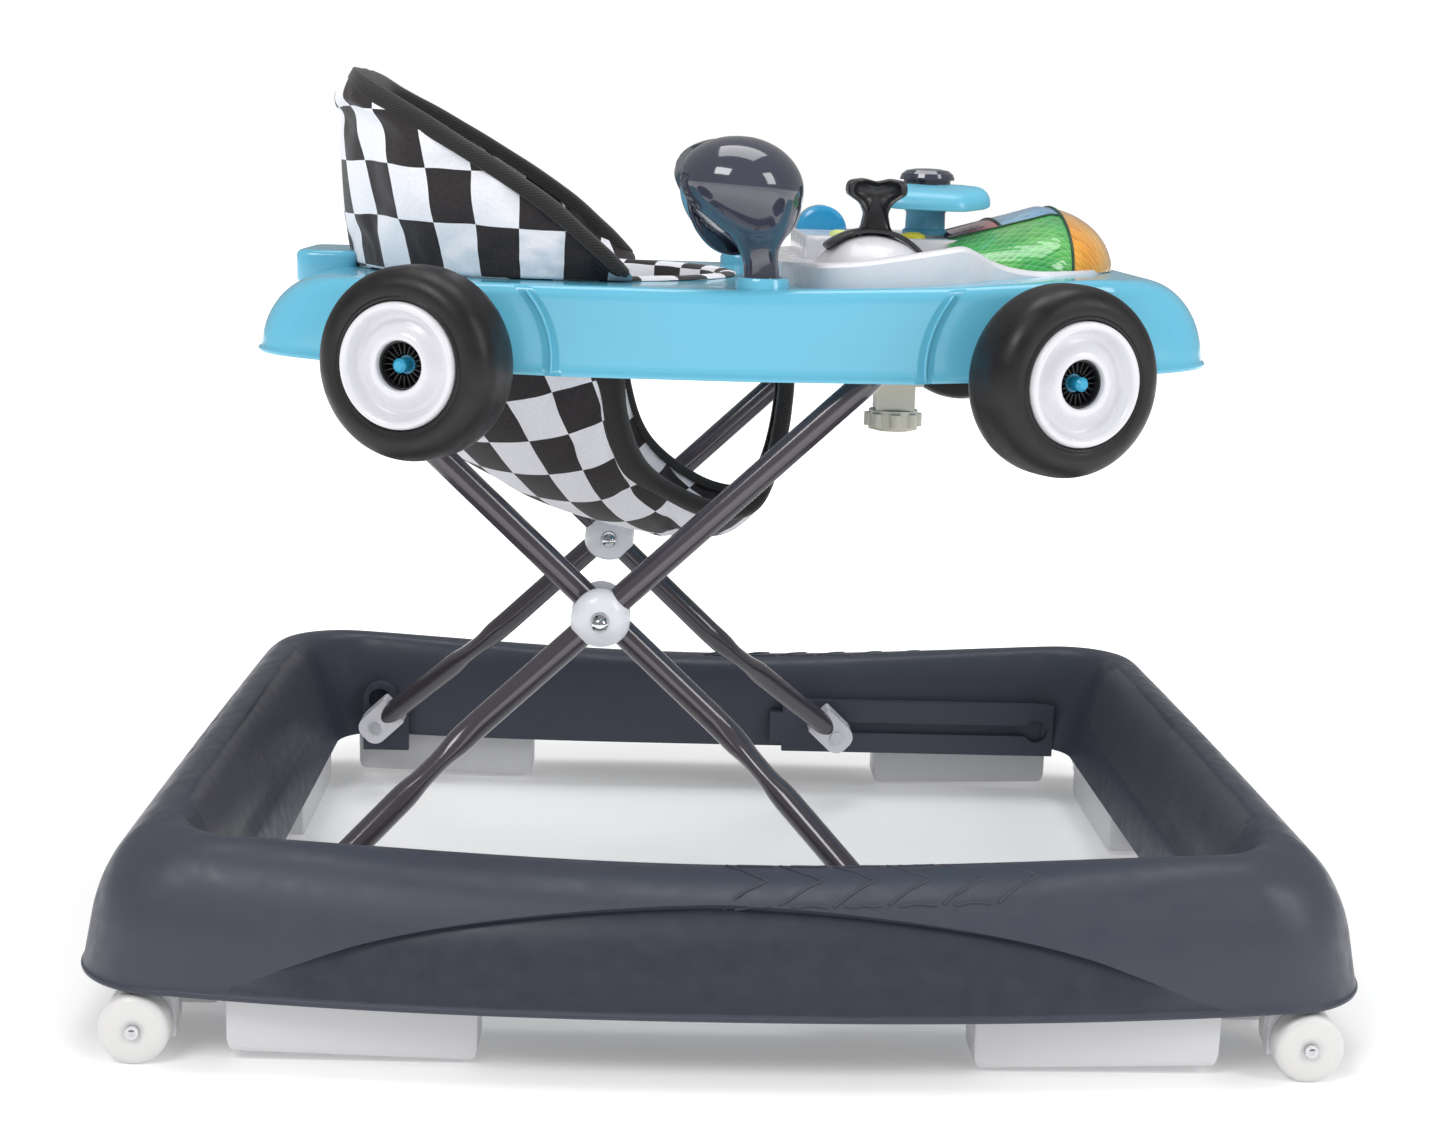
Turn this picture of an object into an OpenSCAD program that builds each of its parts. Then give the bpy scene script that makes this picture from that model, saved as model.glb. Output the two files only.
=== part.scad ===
// Folding baby walker: a wheeled base ring, a scissor frame and a racing-car play tray with a
// fabric seat. Millimetres. +X is the car's front, +Y its left side, +Z up. The origin is on the
// floor under the middle of the base ring.

/* [Base ring] */
// Length of the base ring over its lip
base_length = 724; // [700:1:740]
// Width of the base ring over its lip at mid length
base_width = 630; // [620:1:640]
// Length of the opening inside the ring
opening_length = 568; // [560:1:576]
// Width of the opening inside the ring
opening_width = 480; // [478:1:484]
// Height of the ring's bottom edge above the floor
lip_z = 37; // [37:0.5:40]
// Height of the ring's crest at mid side
side_crest_z = 105; // [98:1:108]
// Height of the ring's crest across the ends
end_crest_z = 120; // [112:1:124]
// Wall thickness of the ring moulding
base_wall = 3; // [2.5:0.1:3.5]

/* [Castors] */
// Radius of a castor wheel
castor_r = 19.3; // [18.3:0.2:19.3]
// Width of one wheel of the pair
castor_wheel_w = 15.6; // [14:0.2:16]
// Distance of the swivel axis from the middle, lengthwise
castor_x = 311; // [309:1:312]
// Distance of the swivel axis from the middle, sideways
castor_y = 279; // [277:1:279]
// Distance of the axle behind the swivel axis
castor_trail = 11; // [9:1:12]

/* [Scissor frame] */
// Outer radius of the frame tubes
tube_r = 8; // [7:0.25:8]
// Lengthwise position of the hub bolts
hub_x = -77; // [-78:1:-76]
// Height of the hub bolts
hub_z = 222; // [221:1:223]
// Lengthwise position of the rear foot pivots
pivot_x = -254; // [-255:1:-253]
// Height of the foot pivots and of the slide slot
pivot_z = 55; // [54.5:0.5:55.5]
// Sideways distance of the outer leg from the middle, at the hub
leg_outer_y = 147.3; // [147.2:0.1:147.6]
// Sideways distance of the inner leg from the middle, at the hub
leg_inner_y = 130.7; // [130.4:0.1:130.8]

/* [Tray] */
// Half length of the tray at its lip
tray_half_l = 285; // [280:1:285]
// Half width of the tray at its waist
tray_half_w = 162; // [161:1:164]
// Height of the tray's deck
deck_z = 418; // [417:0.5:419]
// Wall thickness of the tray
tray_wall = 3; // [2.5:0.1:3.2]
// Radius of the seat hole
seat_hole_r = 118; // [118:0.5:119]
// Lengthwise position of the seat hole's centre
seat_x = -118; // [-119:0.5:-117]

/* [Toy wheels] */
// Radius of a toy tyre
tyre_r = 54.5; // [52:0.5:55]
// Width of a toy tyre
tyre_w = 46; // [44:0.5:46]
// How far a toy wheel's axle points fore and aft
splay = 22; // [20:1:24]

/* [Hidden] */

$fn = 48;
SLATE = [0.25, 0.27, 0.32];
TUBE = [0.27, 0.25, 0.28];
SKY = [0.45, 0.78, 0.9];
WHITE = [0.93, 0.93, 0.94];
BLACK = [0.13, 0.13, 0.14];
STEEL = [0.78, 0.78, 0.8];
AMBER = [0.94, 0.69, 0.24];

running = 0.06;  // radial clearance of a part that turns on a pin
fitted = 0.02;  // radial clearance of a part that is fixed on another
gap = 0.3;  // clearance between parts that only pass each other

// The legs are two equal bars crossing at their middles.
half_leg = norm([hub_x - pivot_x, hub_z - pivot_z]);
slider_x = 2 * hub_x - pivot_x;  // front foot, in the slide slot
top_z = 2 * hub_z - pivot_z;  // both upper ends
foot_y = 214;  // sideways distance of the feet
foot_out = 9.4;  // a foot's reach outward and inward of the tube's end
foot_in = 13;
foot_r = 11.5;
pin_r = 4;
knee_t = 0.47;  // where each leg starts to splay, from hub (0) to foot (1)
bend_r = 42;  // bend between a leg and its cross bar

wall_y = opening_width / 2;  // inner wall of the ring's sides
lip_corner_r = 60;
lip_lift = 3.6;  // how far the lip lifts towards the corners, over the castors
opening_corner_r = 30;
side_bow = 15;  // how far the sides bow outward at mid length
castor_signs = [[1, 1], [1, -1], [-1, 1], [-1, -1]];
axle_z = castor_r;

wheel_x = 190;  // centre of a toy wheel's outer face
wheel_y = 220;
wheel_z = 375;
axle_hole_r = 4.2;

// ---------- shared shapes ----------

function lerp(a, b, t) = a + (b - a) * t;

// Corner fillet points: corner p between neighbours a and b, with radius r, in n steps.
function fillet(a, p, b, r, n) =
  let (
    u = (a - p) / norm(a - p),
    v = (b - p) / norm(b - p),
    half = acos(max(-1, min(1, u * v))) / 2,
    cut = min(r / tan(half), 0.49 * norm(a - p), 0.49 * norm(b - p)),
    radius = cut * tan(half),
    centre = p + (u + v) / norm(u + v) * radius / sin(half),
    s = p + u * cut - centre,
    e = p + v * cut - centre,
    turn = atan2(s[0] * e[1] - s[1] * e[0], s * e)
  )
  [for (i = [0:n]) let (w = turn * i / n)
    centre + [s[0] * cos(w) - s[1] * sin(w), s[0] * sin(w) + s[1] * cos(w)]];

// Polygon with rounded corners, from a list of [x, y, radius].
function rounded(c, n = 5) =
  [for (i = [0:len(c) - 1])
    let (
      k = len(c),
      p = [c[i][0], c[i][1]],
      a = [c[(i + k - 1) % k][0], c[(i + k - 1) % k][1]],
      b = [c[(i + 1) % k][0], c[(i + 1) % k][1]]
    )
    each fillet(a, p, b, c[i][2], n)];

function box_corners(x0, x1, y0, y1, r) = [[x0, y0, r], [x1, y0, r], [x1, y1, r], [x0, y1, r]];

// Closed surface through rings of points that close on themselves both ways.
module torus_skin(rings) {
  k = len(rings[0]);
  m = len(rings);
  points = [for (ring = rings) each ring];
  faces = [for (j = [0:m - 1], i = [0:k - 1])
    let (
      near = j * k,
      far = ((j + 1) % m) * k,
      n = (i + 1) % k,
      a = near + i,
      b = near + n,
      c = far + n,
      d = far + i
    )
    each [[a, b, c], [a, c, d]]];
  polyhedron(points, faces, convexity = 10);
}

// Closed surface through rings of points, closed by a cap of triangles at each end.
module capped_skin(rings) {
  k = len(rings[0]);
  m = len(rings);
  points = [for (ring = rings) each ring];
  sides = [for (j = [0:m - 2], i = [0:k - 1])
    let (a = j * k + i, b = j * k + (i + 1) % k, c = (j + 1) * k + (i + 1) % k, d = (j + 1) * k + i)
    each [[a, b, c], [a, c, d]]];
  // The rings are folded strips: point i of a cap is joined to its opposite point.
  caps = [for (end = [0, 1], i = [0:k / 2 - 2])
    let (o = end * (m - 1) * k, p = o + i, q = o + i + 1, r = o + k - 2 - i, s = o + k - 1 - i)
    each (end == 0 ? [[p, r, q], [p, s, r]] : [[p, q, r], [p, r, s]])];
  polyhedron(points, concat(sides, caps), convexity = 10);
}

// Straight round bar between two points.
module bar(a, b, r) {
  d = b - a;
  translate(a) rotate([0, acos(d[2] / norm(d)), atan2(d[1], d[0])]) cylinder(r = r, h = norm(d));
}

// Cylinder along Y from y0 to y1.
module y_rod(x, z, y0, y1, r) {
  translate([x, max(y0, y1), z]) rotate([90, 0, 0]) cylinder(r = r, h = abs(y1 - y0));
}

module block(low, high) {
  translate(low) cube(high - low);
}

module both_sides() {
  children();
  mirror([0, 1, 0]) children();
}

// ---------- base ring ----------

// Plan outlines of the lip and of the inner edge share one list of corner angles.
ring_corner_steps = 6;
ring_side_steps = 8;
ring_end_steps = 5;

function ring_outline(half_l, half_w, r, bow) =
  let (n = ring_corner_steps)
  [for (q = [0:3])
    let (
      sx = (q == 0 || q == 3) ? 1 : -1,
      sy = q < 2 ? 1 : -1,
      centre = [sx * (half_l - r), sy * (half_w - r)],
      next_long = q % 2 == 0
    )
    each concat(
      [for (i = [0:n]) let (a = q * 90 + 90 * i / n) centre + r * [cos(a), sin(a)]],
      next_long
        ? [for (i = [1:ring_side_steps - 1])
            let (x = sx * (half_l - r) * (1 - 2 * i / ring_side_steps))
            [x, sy * (half_w + bow * (1 - pow(x / (half_l - r), 2)))]]
        : [for (i = [1:ring_end_steps - 1])
            [sx * half_l, sy * (half_w - r) * (1 - 2 * i / ring_end_steps)]]
    )];

// Section of the ring from lip to inner edge: [share of the width, share of the height].
side_profile = [
  [0, 0], [0, 0.07], [0.045, 0.1], [0.07, 0.27], [0.13, 0.48], [0.21, 0.67], [0.33, 0.84],
  [0.48, 0.955], [0.64, 1], [0.79, 1], [0.9, 0.955], [0.965, 0.87], [0.99, 0.7], [1, 0.35], [1, 0]
];
end_profile = [
  [0, 0], [0, 0.06], [0.035, 0.09], [0.05, 0.25], [0.09, 0.45], [0.15, 0.62], [0.25, 0.8],
  [0.38, 0.93], [0.5, 0.99], [0.6, 1], [0.68, 0.95], [0.77, 0.76], [0.86, 0.5], [0.94, 0.24], [1, 0]
];

// How much a station belongs to an end (1) or to a side (0).
function endness(p, q) =
  let (d = p - q, a = abs(atan2(d[1], abs(d[0]))))
  let (t = max(0, min(1, 1 - a / 90))) t * t * (3 - 2 * t);

function ring_section(p, q) =
  let (
    w = endness(p, q),
    rise = 1 + 0.15 * pow(min(1, abs(p[0]) / 300), 2),
    width = norm(q - p),
    dir = (q - p) / width,
    corner = min(1, abs(p[0]) / (base_length / 2 - lip_corner_r)),
    low = lip_z + lip_lift * pow(corner, 3),
    h = lerp((side_crest_z - lip_z) * rise, end_crest_z - lip_z, w) + lip_z - low,
    outer = [for (i = [0:len(side_profile) - 1])
      let (s = lerp(side_profile[i], end_profile[i], w)) [s[0] * width, low + s[1] * h]],
    m = len(outer) - 1,
    inner = [for (i = [0:m])
      let (
        t = outer[min(m, i + 1)] - outer[max(0, i - 1)],
        off = [t[1], -t[0]] / norm(t) * base_wall
      )
      (i == 0 || i == m) ? [outer[i][0] + (i == 0 ? base_wall : -base_wall), low] : outer[i] + off]
  )
  [for (s = concat(outer, [for (i = [m:-1:0]) inner[i]])) [p[0] + dir[0] * s[0], p[1] + dir[1] * s[0], s[1]]];

module base_shell() {
  lip = ring_outline(base_length / 2, base_width / 2 - side_bow, lip_corner_r, side_bow);
  edge = ring_outline(opening_length / 2, opening_width / 2, opening_corner_r, 0);
  color(SLATE) torus_skin([for (i = [0:len(lip) - 1]) ring_section(lip[i], edge[i])]);
}

// Space inside the ring's opening, a little smaller than the opening.
module opening_space() {
  linear_extrude(200)
    polygon(ring_outline(opening_length / 2 - gap, wall_y - gap, opening_corner_r - gap, 0));
}

// Plate inside a side wall, with the slot for the front foot and its keyhole.
module slide_rail(side) {
  slot_end = slider_x + 160;
  slot_half = pin_r + gap;
  color(SLATE * 0.85) mirror([0, side < 0 ? 1 : 0, 0]) difference() {
    intersection() {
      union() {
        block([60, wall_y - 8, lip_z - 2], [slot_end + 14, wall_y + 1, 76]);
        block([50, wall_y - 8, lip_z + 4], [60.5, wall_y + 1, 66]);
      }
      opening_space();
    }
    block([slider_x - 12, wall_y - 9, pivot_z - slot_half], [slot_end, wall_y - 2.5, pivot_z + slot_half]);
    y_rod(slider_x - 12, pivot_z, wall_y - 9, wall_y - 2.5, slot_half);
    y_rod(slot_end, pivot_z, wall_y - 9, wall_y - 2.5, 9);
  }
}

// Rear foot pivots: a plate with a round boss on each inner wall.
module pivot_brackets() {
  boss_z = pivot_z + 15;
  color(SLATE * 0.85) both_sides() difference() {
    intersection() {
      union() {
        block([pivot_x - 13, wall_y - 8, pivot_z - 26], [pivot_x + 22, wall_y + 1, boss_z]);
        y_rod(pivot_x, boss_z, wall_y - 10, wall_y + 1, 13);
      }
      opening_space();
    }
    y_rod(pivot_x, boss_z, wall_y - 11, wall_y - 2.5, 8.5);
    y_rod(pivot_x, pivot_z, wall_y - 11, wall_y - 2.5, pin_r + running);
  }
}

// Stop pad that touches the floor when a castor drops over a step, with the posts that hold it.
module pad(length, low_end, high_end, top, post_top) {
  cut = 9;
  outline = [
    [0, low_end + cut], [cut, low_end], [length - cut, high_end],
    [length, high_end + cut], [length, top], [0, top]
  ];
  translate([0, 16, 0]) rotate([90, 0, 0]) linear_extrude(32) polygon(outline);
  for (x = [0.25, 0.75]) translate([x * length, 0, top - 1]) cylinder(r = 5, h = post_top - top + 1);
}

module base_pads() {
  color(WHITE) {
    both_sides() for (s = [0, 1]) mirror([s, 0, 0])
      translate([136, wall_y + 35, 0]) pad(138, 2.5, 6, 50, 96);
    both_sides() for (s = [0, 1]) mirror([s, 0, 0])
      translate([opening_length / 2 + 23, 88, 0]) rotate([0, 0, 90]) pad(140, 4, 6, 42, 78);
  }
}

// ---------- castors ----------

socket_z = lip_z + 3;

// Bearing sockets inside the ring's corners, one per castor.
module castor_sockets() {
  color([0.86, 0.9, 0.92]) for (s = castor_signs)
    mirror([s[0] < 0 ? 1 : 0, 0, 0]) mirror([0, s[1] < 0 ? 1 : 0, 0])
      difference() {
        translate([castor_x, castor_y, 0]) union() {
          translate([0, 0, socket_z]) cylinder(r = 8.2, h = 20);
          translate([0, 0, socket_z]) cylinder(r = 11, h = 3);
          block([-24, -1.5, socket_z], [7, 1.5, socket_z + 18]);
          block([-1.5, -24, socket_z], [1.5, 7, socket_z + 18]);
        }
        translate([castor_x, castor_y, socket_z - 1]) cylinder(r = 5 + running, h = 18);
      }
}

// Turns a shape drawn for the front left castor into the one at a corner.
module at_castor(sx, sy) {
  mirror([sx < 0 ? 1 : 0, 0, 0]) mirror([0, sy < 0 ? 1 : 0, 0]) translate([castor_x, castor_y, 0]) children();
}

module castor_fork(sx, sy) {
  color(WHITE * 0.95) at_castor(sx, sy) {
    // web between the wheels, collar and stem
    y_rod(castor_trail, axle_z, -4, 4, 12);
    intersection() {
      block([-9, -4, axle_z - 9], [castor_trail, 4, lip_z + 2.1]);
      y_rod(castor_trail, axle_z, -5, 5, 24);
    }
    translate([0, 0, lip_z - 9]) cylinder(r = 4, h = 11.1);
    translate([0, 0, lip_z + 2]) cylinder(r = 8, h = 0.6);
    translate([0, 0, lip_z + 2]) cylinder(r = 5, h = 16);
    // axle with its screw head and cap nut
    y_rod(castor_trail, axle_z, -castor_wheel_w - 4.6, castor_wheel_w + 4.6, 2.5);
  }
  color(STEEL) at_castor(sx, sy) {
    y_rod(castor_trail, axle_z, castor_wheel_w + 4.6, castor_wheel_w + 6, 3.6);
    y_rod(castor_trail, axle_z, -castor_wheel_w - 6, -castor_wheel_w - 4.6, 3.6);
  }
}

module castor_wheels(sx, sy) {
  w = castor_wheel_w;
  profile = [
    [2.5 + running, 0], [castor_r - 2.5, 0], [castor_r - 0.7, 0.7], [castor_r, 2.5], [castor_r, w - 5],
    [castor_r - 0.9, w - 2.2], [castor_r - 3, w - 0.6], [castor_r - 6, w], [2.5 + running, w]
  ];
  color(WHITE) at_castor(sx, sy) for (s = [0, 1]) mirror([0, s, 0])
    translate([castor_trail, 4 + gap, axle_z]) rotate([-90, 0, 0]) rotate_extrude() polygon(profile);
}

// ---------- scissor frame ----------

// Points of a leg's middle line: foot, knee, start of the bend into the cross bar, and top.
// dir is +1 for frame A, whose foot is at the rear, and -1 for frame B, whose foot is at the front.
function leg(dir, y) =
  let (
    h = [hub_x, y, hub_z],
    run = [dir * (hub_x - pivot_x), 0, hub_z - pivot_z],
    foot = [hub_x - run[0], foot_y, pivot_z]
  )
  [foot, h - run * knee_t, h + run * (1 - bend_r / half_leg), h + run];

// Points of a whole frame: up the left leg, round the bend, over the cross bar and down again.
function frame_path(dir, y) =
  let (
    l = leg(dir, y),
    tip = (l[3] - l[2]) / bend_r,
    knee = [for (i = [0:3]) let (t = i / 3)
      (1 - t) * (1 - t) * lerp(l[1], l[0], 0.12) + 2 * t * (1 - t) * l[1] + t * t * lerp(l[1], l[2], 0.06)],
    bend = [for (i = [0:6]) let (a = i * 15) l[2] + tip * bend_r * sin(a) - [0, bend_r * (1 - cos(a)), 0]],
    half = concat([l[0]], knee, bend)
  )
  concat(half, [for (i = [len(half) - 1:-1:0]) [half[i][0], -half[i][1], half[i][2]]]);

// Round tube along a path that lies in one plane with the given normal.
module flat_tube(path, normal, r) {
  sides = 24;
  m = len(path) - 1;
  capped_skin([for (i = [0:m])
    let (
      d0 = path[max(1, i)] - path[max(1, i) - 1],
      d1 = path[min(m, i + 1)] - path[min(m, i + 1) - 1],
      u0 = d0 / norm(d0),
      u1 = d1 / norm(d1),
      along = (u0 + u1) / norm(u0 + u1),
      across = cross(normal, along) / (along * u0)
    )
    [for (k = [0:sides - 1])
      let (a = (k + 0.5) * 360 / sides)
      path[i] + r * (cos(a) * across - sin(a) * normal)]]);
}

module tube_frame(dir, y) {
  run = [dir * (hub_x - pivot_x), 0, hub_z - pivot_z];
  flat_tube(frame_path(dir, y), cross(run, [0, 1, 0]) / half_leg, tube_r);
}

module hub_bolt_holes(r) {
  both_sides() y_rod(hub_x, hub_z, 110, 170, r);
}

module frame_a_tube() {
  color(TUBE) difference() {
    tube_frame(1, leg_outer_y);
    hub_bolt_holes(3 + running);
    both_sides() y_rod(pivot_x, pivot_z, foot_y - 12, foot_y + 12, pin_r + fitted);
  }
}

module frame_b_tube() {
  color(TUBE) difference() {
    tube_frame(-1, leg_inner_y);
    hub_bolt_holes(3 + fitted);
    both_sides() y_rod(slider_x, pivot_z, foot_y - 12, foot_y + 12, pin_r + fitted);
  }
}

// Moulded foot over a leg's lower end, along the leg in the X-Z plane.
module foot(dir) {
  x = dir > 0 ? pivot_x : slider_x;
  slope = atan2(hub_z - pivot_z, dir * (hub_x - pivot_x));
  l = leg(dir, dir > 0 ? leg_outer_y : leg_inner_y);
  difference() {
    translate([x, foot_y + foot_out, pivot_z]) rotate([90, -slope, 0]) linear_extrude(foot_out + foot_in)
      polygon(rounded([[-foot_r, -foot_r, 9], [20, -foot_r, 2], [20, foot_r, 2], [-foot_r, foot_r, 9]], 5));
    y_rod(x, pivot_z, foot_y - 14, foot_y + 14, pin_r + fitted);
    bar(l[0], l[1], tube_r + fitted);
  }
}

module frame_a_feet() {
  color(WHITE) both_sides() foot(1);
}

module frame_b_feet() {
  color(WHITE) both_sides() foot(-1);
}

// Foot pin with its screw head on the inner side.
module foot_pin(x) {
  color(STEEL) {
    y_rod(x, pivot_z, foot_y - foot_in, wall_y - 3, pin_r);
    y_rod(x, pivot_z, foot_y - foot_in - 1.6, foot_y - foot_in, 4.6);
  }
}

module rear_pivot_pins() {
  both_sides() foot_pin(pivot_x);
}

module slider_pins() {
  both_sides() foot_pin(slider_x);
}

// Domed cap over the crossing, cut to the tube it sits on. y0 is the tube's middle, out its outer side.
module hub_cap(y0, out, slope, hole_r) {
  dome = [[hole_r, 2.5], [17.5, 2.5], [17.5, 8], [16.6, 9.6], [13.5, 11.4], [9, 12.6], [hole_r, 13]];
  difference() {
    translate([hub_x, y0, hub_z]) rotate([out > 0 ? -90 : 90, 0, 0]) rotate_extrude() polygon(dome);
    translate([hub_x, y0, hub_z]) rotate([0, 90 - slope, 0]) cylinder(r = tube_r, h = 80, center = true);
  }
}

leg_slope = atan2(hub_z - pivot_z, hub_x - pivot_x);

module hub_caps_outer() {
  color([0.88, 0.9, 0.92]) both_sides() hub_cap(leg_outer_y, 1, leg_slope, 3 + running);
}

module hub_caps_inner() {
  color([0.88, 0.9, 0.92]) both_sides() hub_cap(leg_inner_y, -1, -leg_slope, 3 + fitted);
}

// Bolt with a cross head inside and a cap nut outside.
module hub_bolts() {
  outer = leg_outer_y + 13;
  inner = leg_inner_y - 13;
  color(STEEL) both_sides() {
    y_rod(hub_x, hub_z, inner, outer + gap, 3);
    y_rod(hub_x, hub_z, inner - 1.6, inner, 4.4);
    translate([hub_x, outer + gap, hub_z]) rotate([-90, 0, 0]) rotate_extrude()
      polygon([[0, 0], [5, 0], [5, 1.2], [4.5, 2.6], [3.2, 3.9], [1.6, 4.6], [0, 4.8]]);
  }
}

// ---------- height adjuster ----------

adjuster_x = slider_x + 9;

module adjuster_block() {
  color([0.78, 0.74, 0.64]) difference() {
    union() {
      block([adjuster_x - 17.5, -15, 350], [adjuster_x + 17.5, 15, top_z + 11]);
      block([adjuster_x - 12.5, -12.5, 334], [adjuster_x + 12.5, 12.5, 350.5]);
    }
    y_rod(slider_x, top_z, -16, 16, tube_r + running);
    translate([adjuster_x, 0, 333]) cylinder(r = 4 + running, h = 16);
  }
}

module adjuster_knob() {
  lobes = 8;
  color([0.8, 0.77, 0.72]) translate([adjuster_x, 0, 320]) {
    translate([0, 0, 1]) cylinder(r = 16, h = 12.6);
    cylinder(r = 12, h = 2);
    cylinder(r = 4, h = 28);
    for (i = [0:lobes - 1])
      rotate(i * 360 / lobes) translate([15, 0, 3]) cylinder(r = 4, h = 8.5, $fn = 24);
  }
}

// ---------- tray ----------

tray_lip_z = 366;
nose_rise = 11;  // the deck rises towards the front
ramp_x0 = 60;
ramp_x1 = 200;
function deck_at(x) = deck_z + nose_rise * max(0, min(1, (x - ramp_x0) / (ramp_x1 - ramp_x0)));
// Height of the tray's lip, which lifts towards both ends.
function lip_at(x) =
  tray_lip_z + 11 * pow(max(0, x - 70) / 215, 1.3) + 5 * pow(max(0, -130 - x) / 155, 1.3);

arch_r = 59;
arch_x = 166;
edge_r = 7;  // rounding between the sides and the deck

// Half outline of the tray at a share v of its height, moved inward by d, on the left side.
function tray_corners(v, d) =
  let (
    e = 240 + (tray_half_l - 240) * sqrt(max(0, 1 - v * v)) - d,
    turn = v > 0.86 ? edge_r * (1 - sqrt(max(0, 1 - pow((v - 0.86) / 0.14, 2)))) : 0,
    w = tray_half_w - d - turn,
    dz = tray_lip_z + v * (deck_z - tray_lip_z) - wheel_z,
    a = arch_x - sqrt(max(0, arch_r * arch_r - dz * dz)) + d
  )
  [
    [e, 124 - d - turn, 52], [218, w - 13, 30], [192, w - 2.5, 20], [a + 6, w - 2.5, 4], [a - 4, w + 1, 4],
    [0, w + 3, 60], [-a + 4, w + 1, 4], [-a - 6, w - 2.5, 4], [-192, w - 2.5, 20], [-218, w - 13, 30],
    [-e, 124 - d - turn, 52]
  ];

function tray_outline(v, d) =
  let (h = tray_corners(v, d))
  rounded(concat(h, [for (i = [len(h) - 1:-1:0]) [h[i][0], -h[i][1], h[i][2]]]), 4);

function tray_ring(v, d, drop) =
  [for (p = tray_outline(v, d)) [p[0], p[1], lerp(lip_at(p[0]), deck_at(p[0]) - drop, v)]];

// Points across the deck, from the outline towards the seat hole, where the deck's slope starts or ends.
function deck_ring(kink_x, low, high, drop) =
  [for (p = tray_outline(0.99, 0))
    let (
      inner = [seat_x, 0] + 100 * ([p[0], p[1]] - [seat_x, 0]) / norm([p[0], p[1]] - [seat_x, 0]),
      t = max(low, min(high, (p[0] - kink_x) / max(1, p[0] - inner[0]))),
      q = lerp([p[0], p[1]], inner, t)
    )
    [q[0], q[1], deck_at(q[0]) - drop]];

function deck_rings(drop) =
  [deck_ring(ramp_x1, 0.04, 0.5, drop), deck_ring(ramp_x0, 0.08, 0.9, drop), deck_ring(-400, 1, 1, drop)];

mirror_x = 13;
mirror_y = 143;
mirror_peg_r = 6;

// Outer faces of the tray, from lip to deck.
function tray_outside(d) = [for (v = [0, 0.1, 0.3, 0.5, 0.7, 0.86, 0.95, 0.99]) tray_ring(v, d, 0)];

module tray_shell() {
  inner = [for (v = [0.99, 0.9, 0.7, 0.4, 0]) tray_ring(v, tray_wall, v > 0.9 ? tray_wall : 0)];
  top = deck_rings(0);
  under = deck_rings(tray_wall);
  rings = concat(tray_outside(0), top, [for (i = [2:-1:0]) under[i]], inner);
  color(SKY) difference() {
    union() {
      torus_skin([for (i = [len(rings) - 1:-1:0]) rings[i]]);
      both_sides() translate([mirror_x, mirror_y, deck_z - 2]) cylinder(r = 14, h = 7);
    }
    translate([seat_x, 0, deck_z - 20]) cylinder(r = seat_hole_r, h = 40, $fn = 96);
    both_sides() translate([mirror_x, mirror_y, deck_z - 8]) cylinder(r = mirror_peg_r + running, h = 16);
  }
}

// Everything up to the tray's outer faces, as a solid for cutting.
module tray_envelope() {
  rings = tray_outside(-0.1);
  capped_skin([for (i = [len(rings) - 1:-1:0]) rings[i]]);
}

// Raised block over the rear edge of the deck.
module rear_block() {
  color(SKY) difference() {
    translate([0, 0, deck_z - 14]) linear_extrude(24)
      polygon(rounded(box_corners(-274, -239.6, -42, 42, 11), 8));
    translate([0, 0, 0.6]) tray_envelope();
    block([-300, -60, deck_z - 30], [-236, 60, deck_z - 13.9]);
  }
}

// Clips under the deck that hold frame B's cross bar.
module hinge_clips() {
  color(WHITE * 0.9) both_sides() difference() {
    union() {
      block([pivot_x - 9, 46, top_z - 12], [pivot_x + 11, 64, top_z + 15]);
      block([pivot_x + 4, 46, top_z + 6], [pivot_x + 14, 64, top_z + 22]);
    }
    y_rod(pivot_x, top_z, 45, 65, tube_r + running);
  }
}

// Places a shape drawn along +Z on a toy wheel's axle; z = 0 is the wheel's outer face.
module at_toy_wheel(sx, sy) {
  translate([sx * wheel_x, sy * wheel_y, wheel_z])
    rotate([0, 90, atan2(sy * cos(splay), sx * sin(splay))]) children();
}

module tyre(sx, sy) {
  shoulder = 13;
  r = tyre_r;
  front = [for (a = [80:-20:0]) [r - shoulder + shoulder * cos(a), -shoulder + shoulder * sin(a)]];
  back = [for (a = [0:-20:-80]) [r - shoulder + shoulder * cos(a), -tyre_w + shoulder + shoulder * sin(a)]];
  profile = concat(
    [[axle_hole_r, -16], [13.5, -16], [13.5, -8.2], [35.4, -8.2], [35.4, -0.6]],
    front, back,
    [[34, -tyre_w], [30, -tyre_w + 5], [12, -tyre_w + 5], [12, -tyre_w], [axle_hole_r, -tyre_w]]
  );
  color(BLACK) at_toy_wheel(sx, sy) rotate_extrude() polygon(profile);
}

module rim(sx, sy) {
  profile = [
    [13.6, -8.2], [35.4, -8.2], [35.4, -0.4], [34.6, 1.2], [32.8, 2], [30.6, 1.4], [28.4, -1], [25, -3.4],
    [20, -4.2], [16, -3.4], [14.2, -2.4], [13.6, -3]
  ];
  color(WHITE) at_toy_wheel(sx, sy) rotate_extrude() polygon(profile);
}

// Axle pins of the toy wheels, fixed in the tray's sides.
module wheel_pins() {
  color([0.18, 0.6, 0.7]) for (s = castor_signs) at_toy_wheel(s[0], s[1]) {
    translate([0, 0, -tyre_w - 17]) cylinder(r = 4, h = tyre_w + 13);
    translate([0, 0, -tyre_w - 15]) cylinder(r = 9, h = 14);
    translate([0, 0, -15.7]) cylinder(r = 5.2, h = 3);
    translate([0, 0, -4]) cylinder(r1 = 4, r2 = 2.5, h = 2);
  }
}

// ---------- seat ----------

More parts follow.
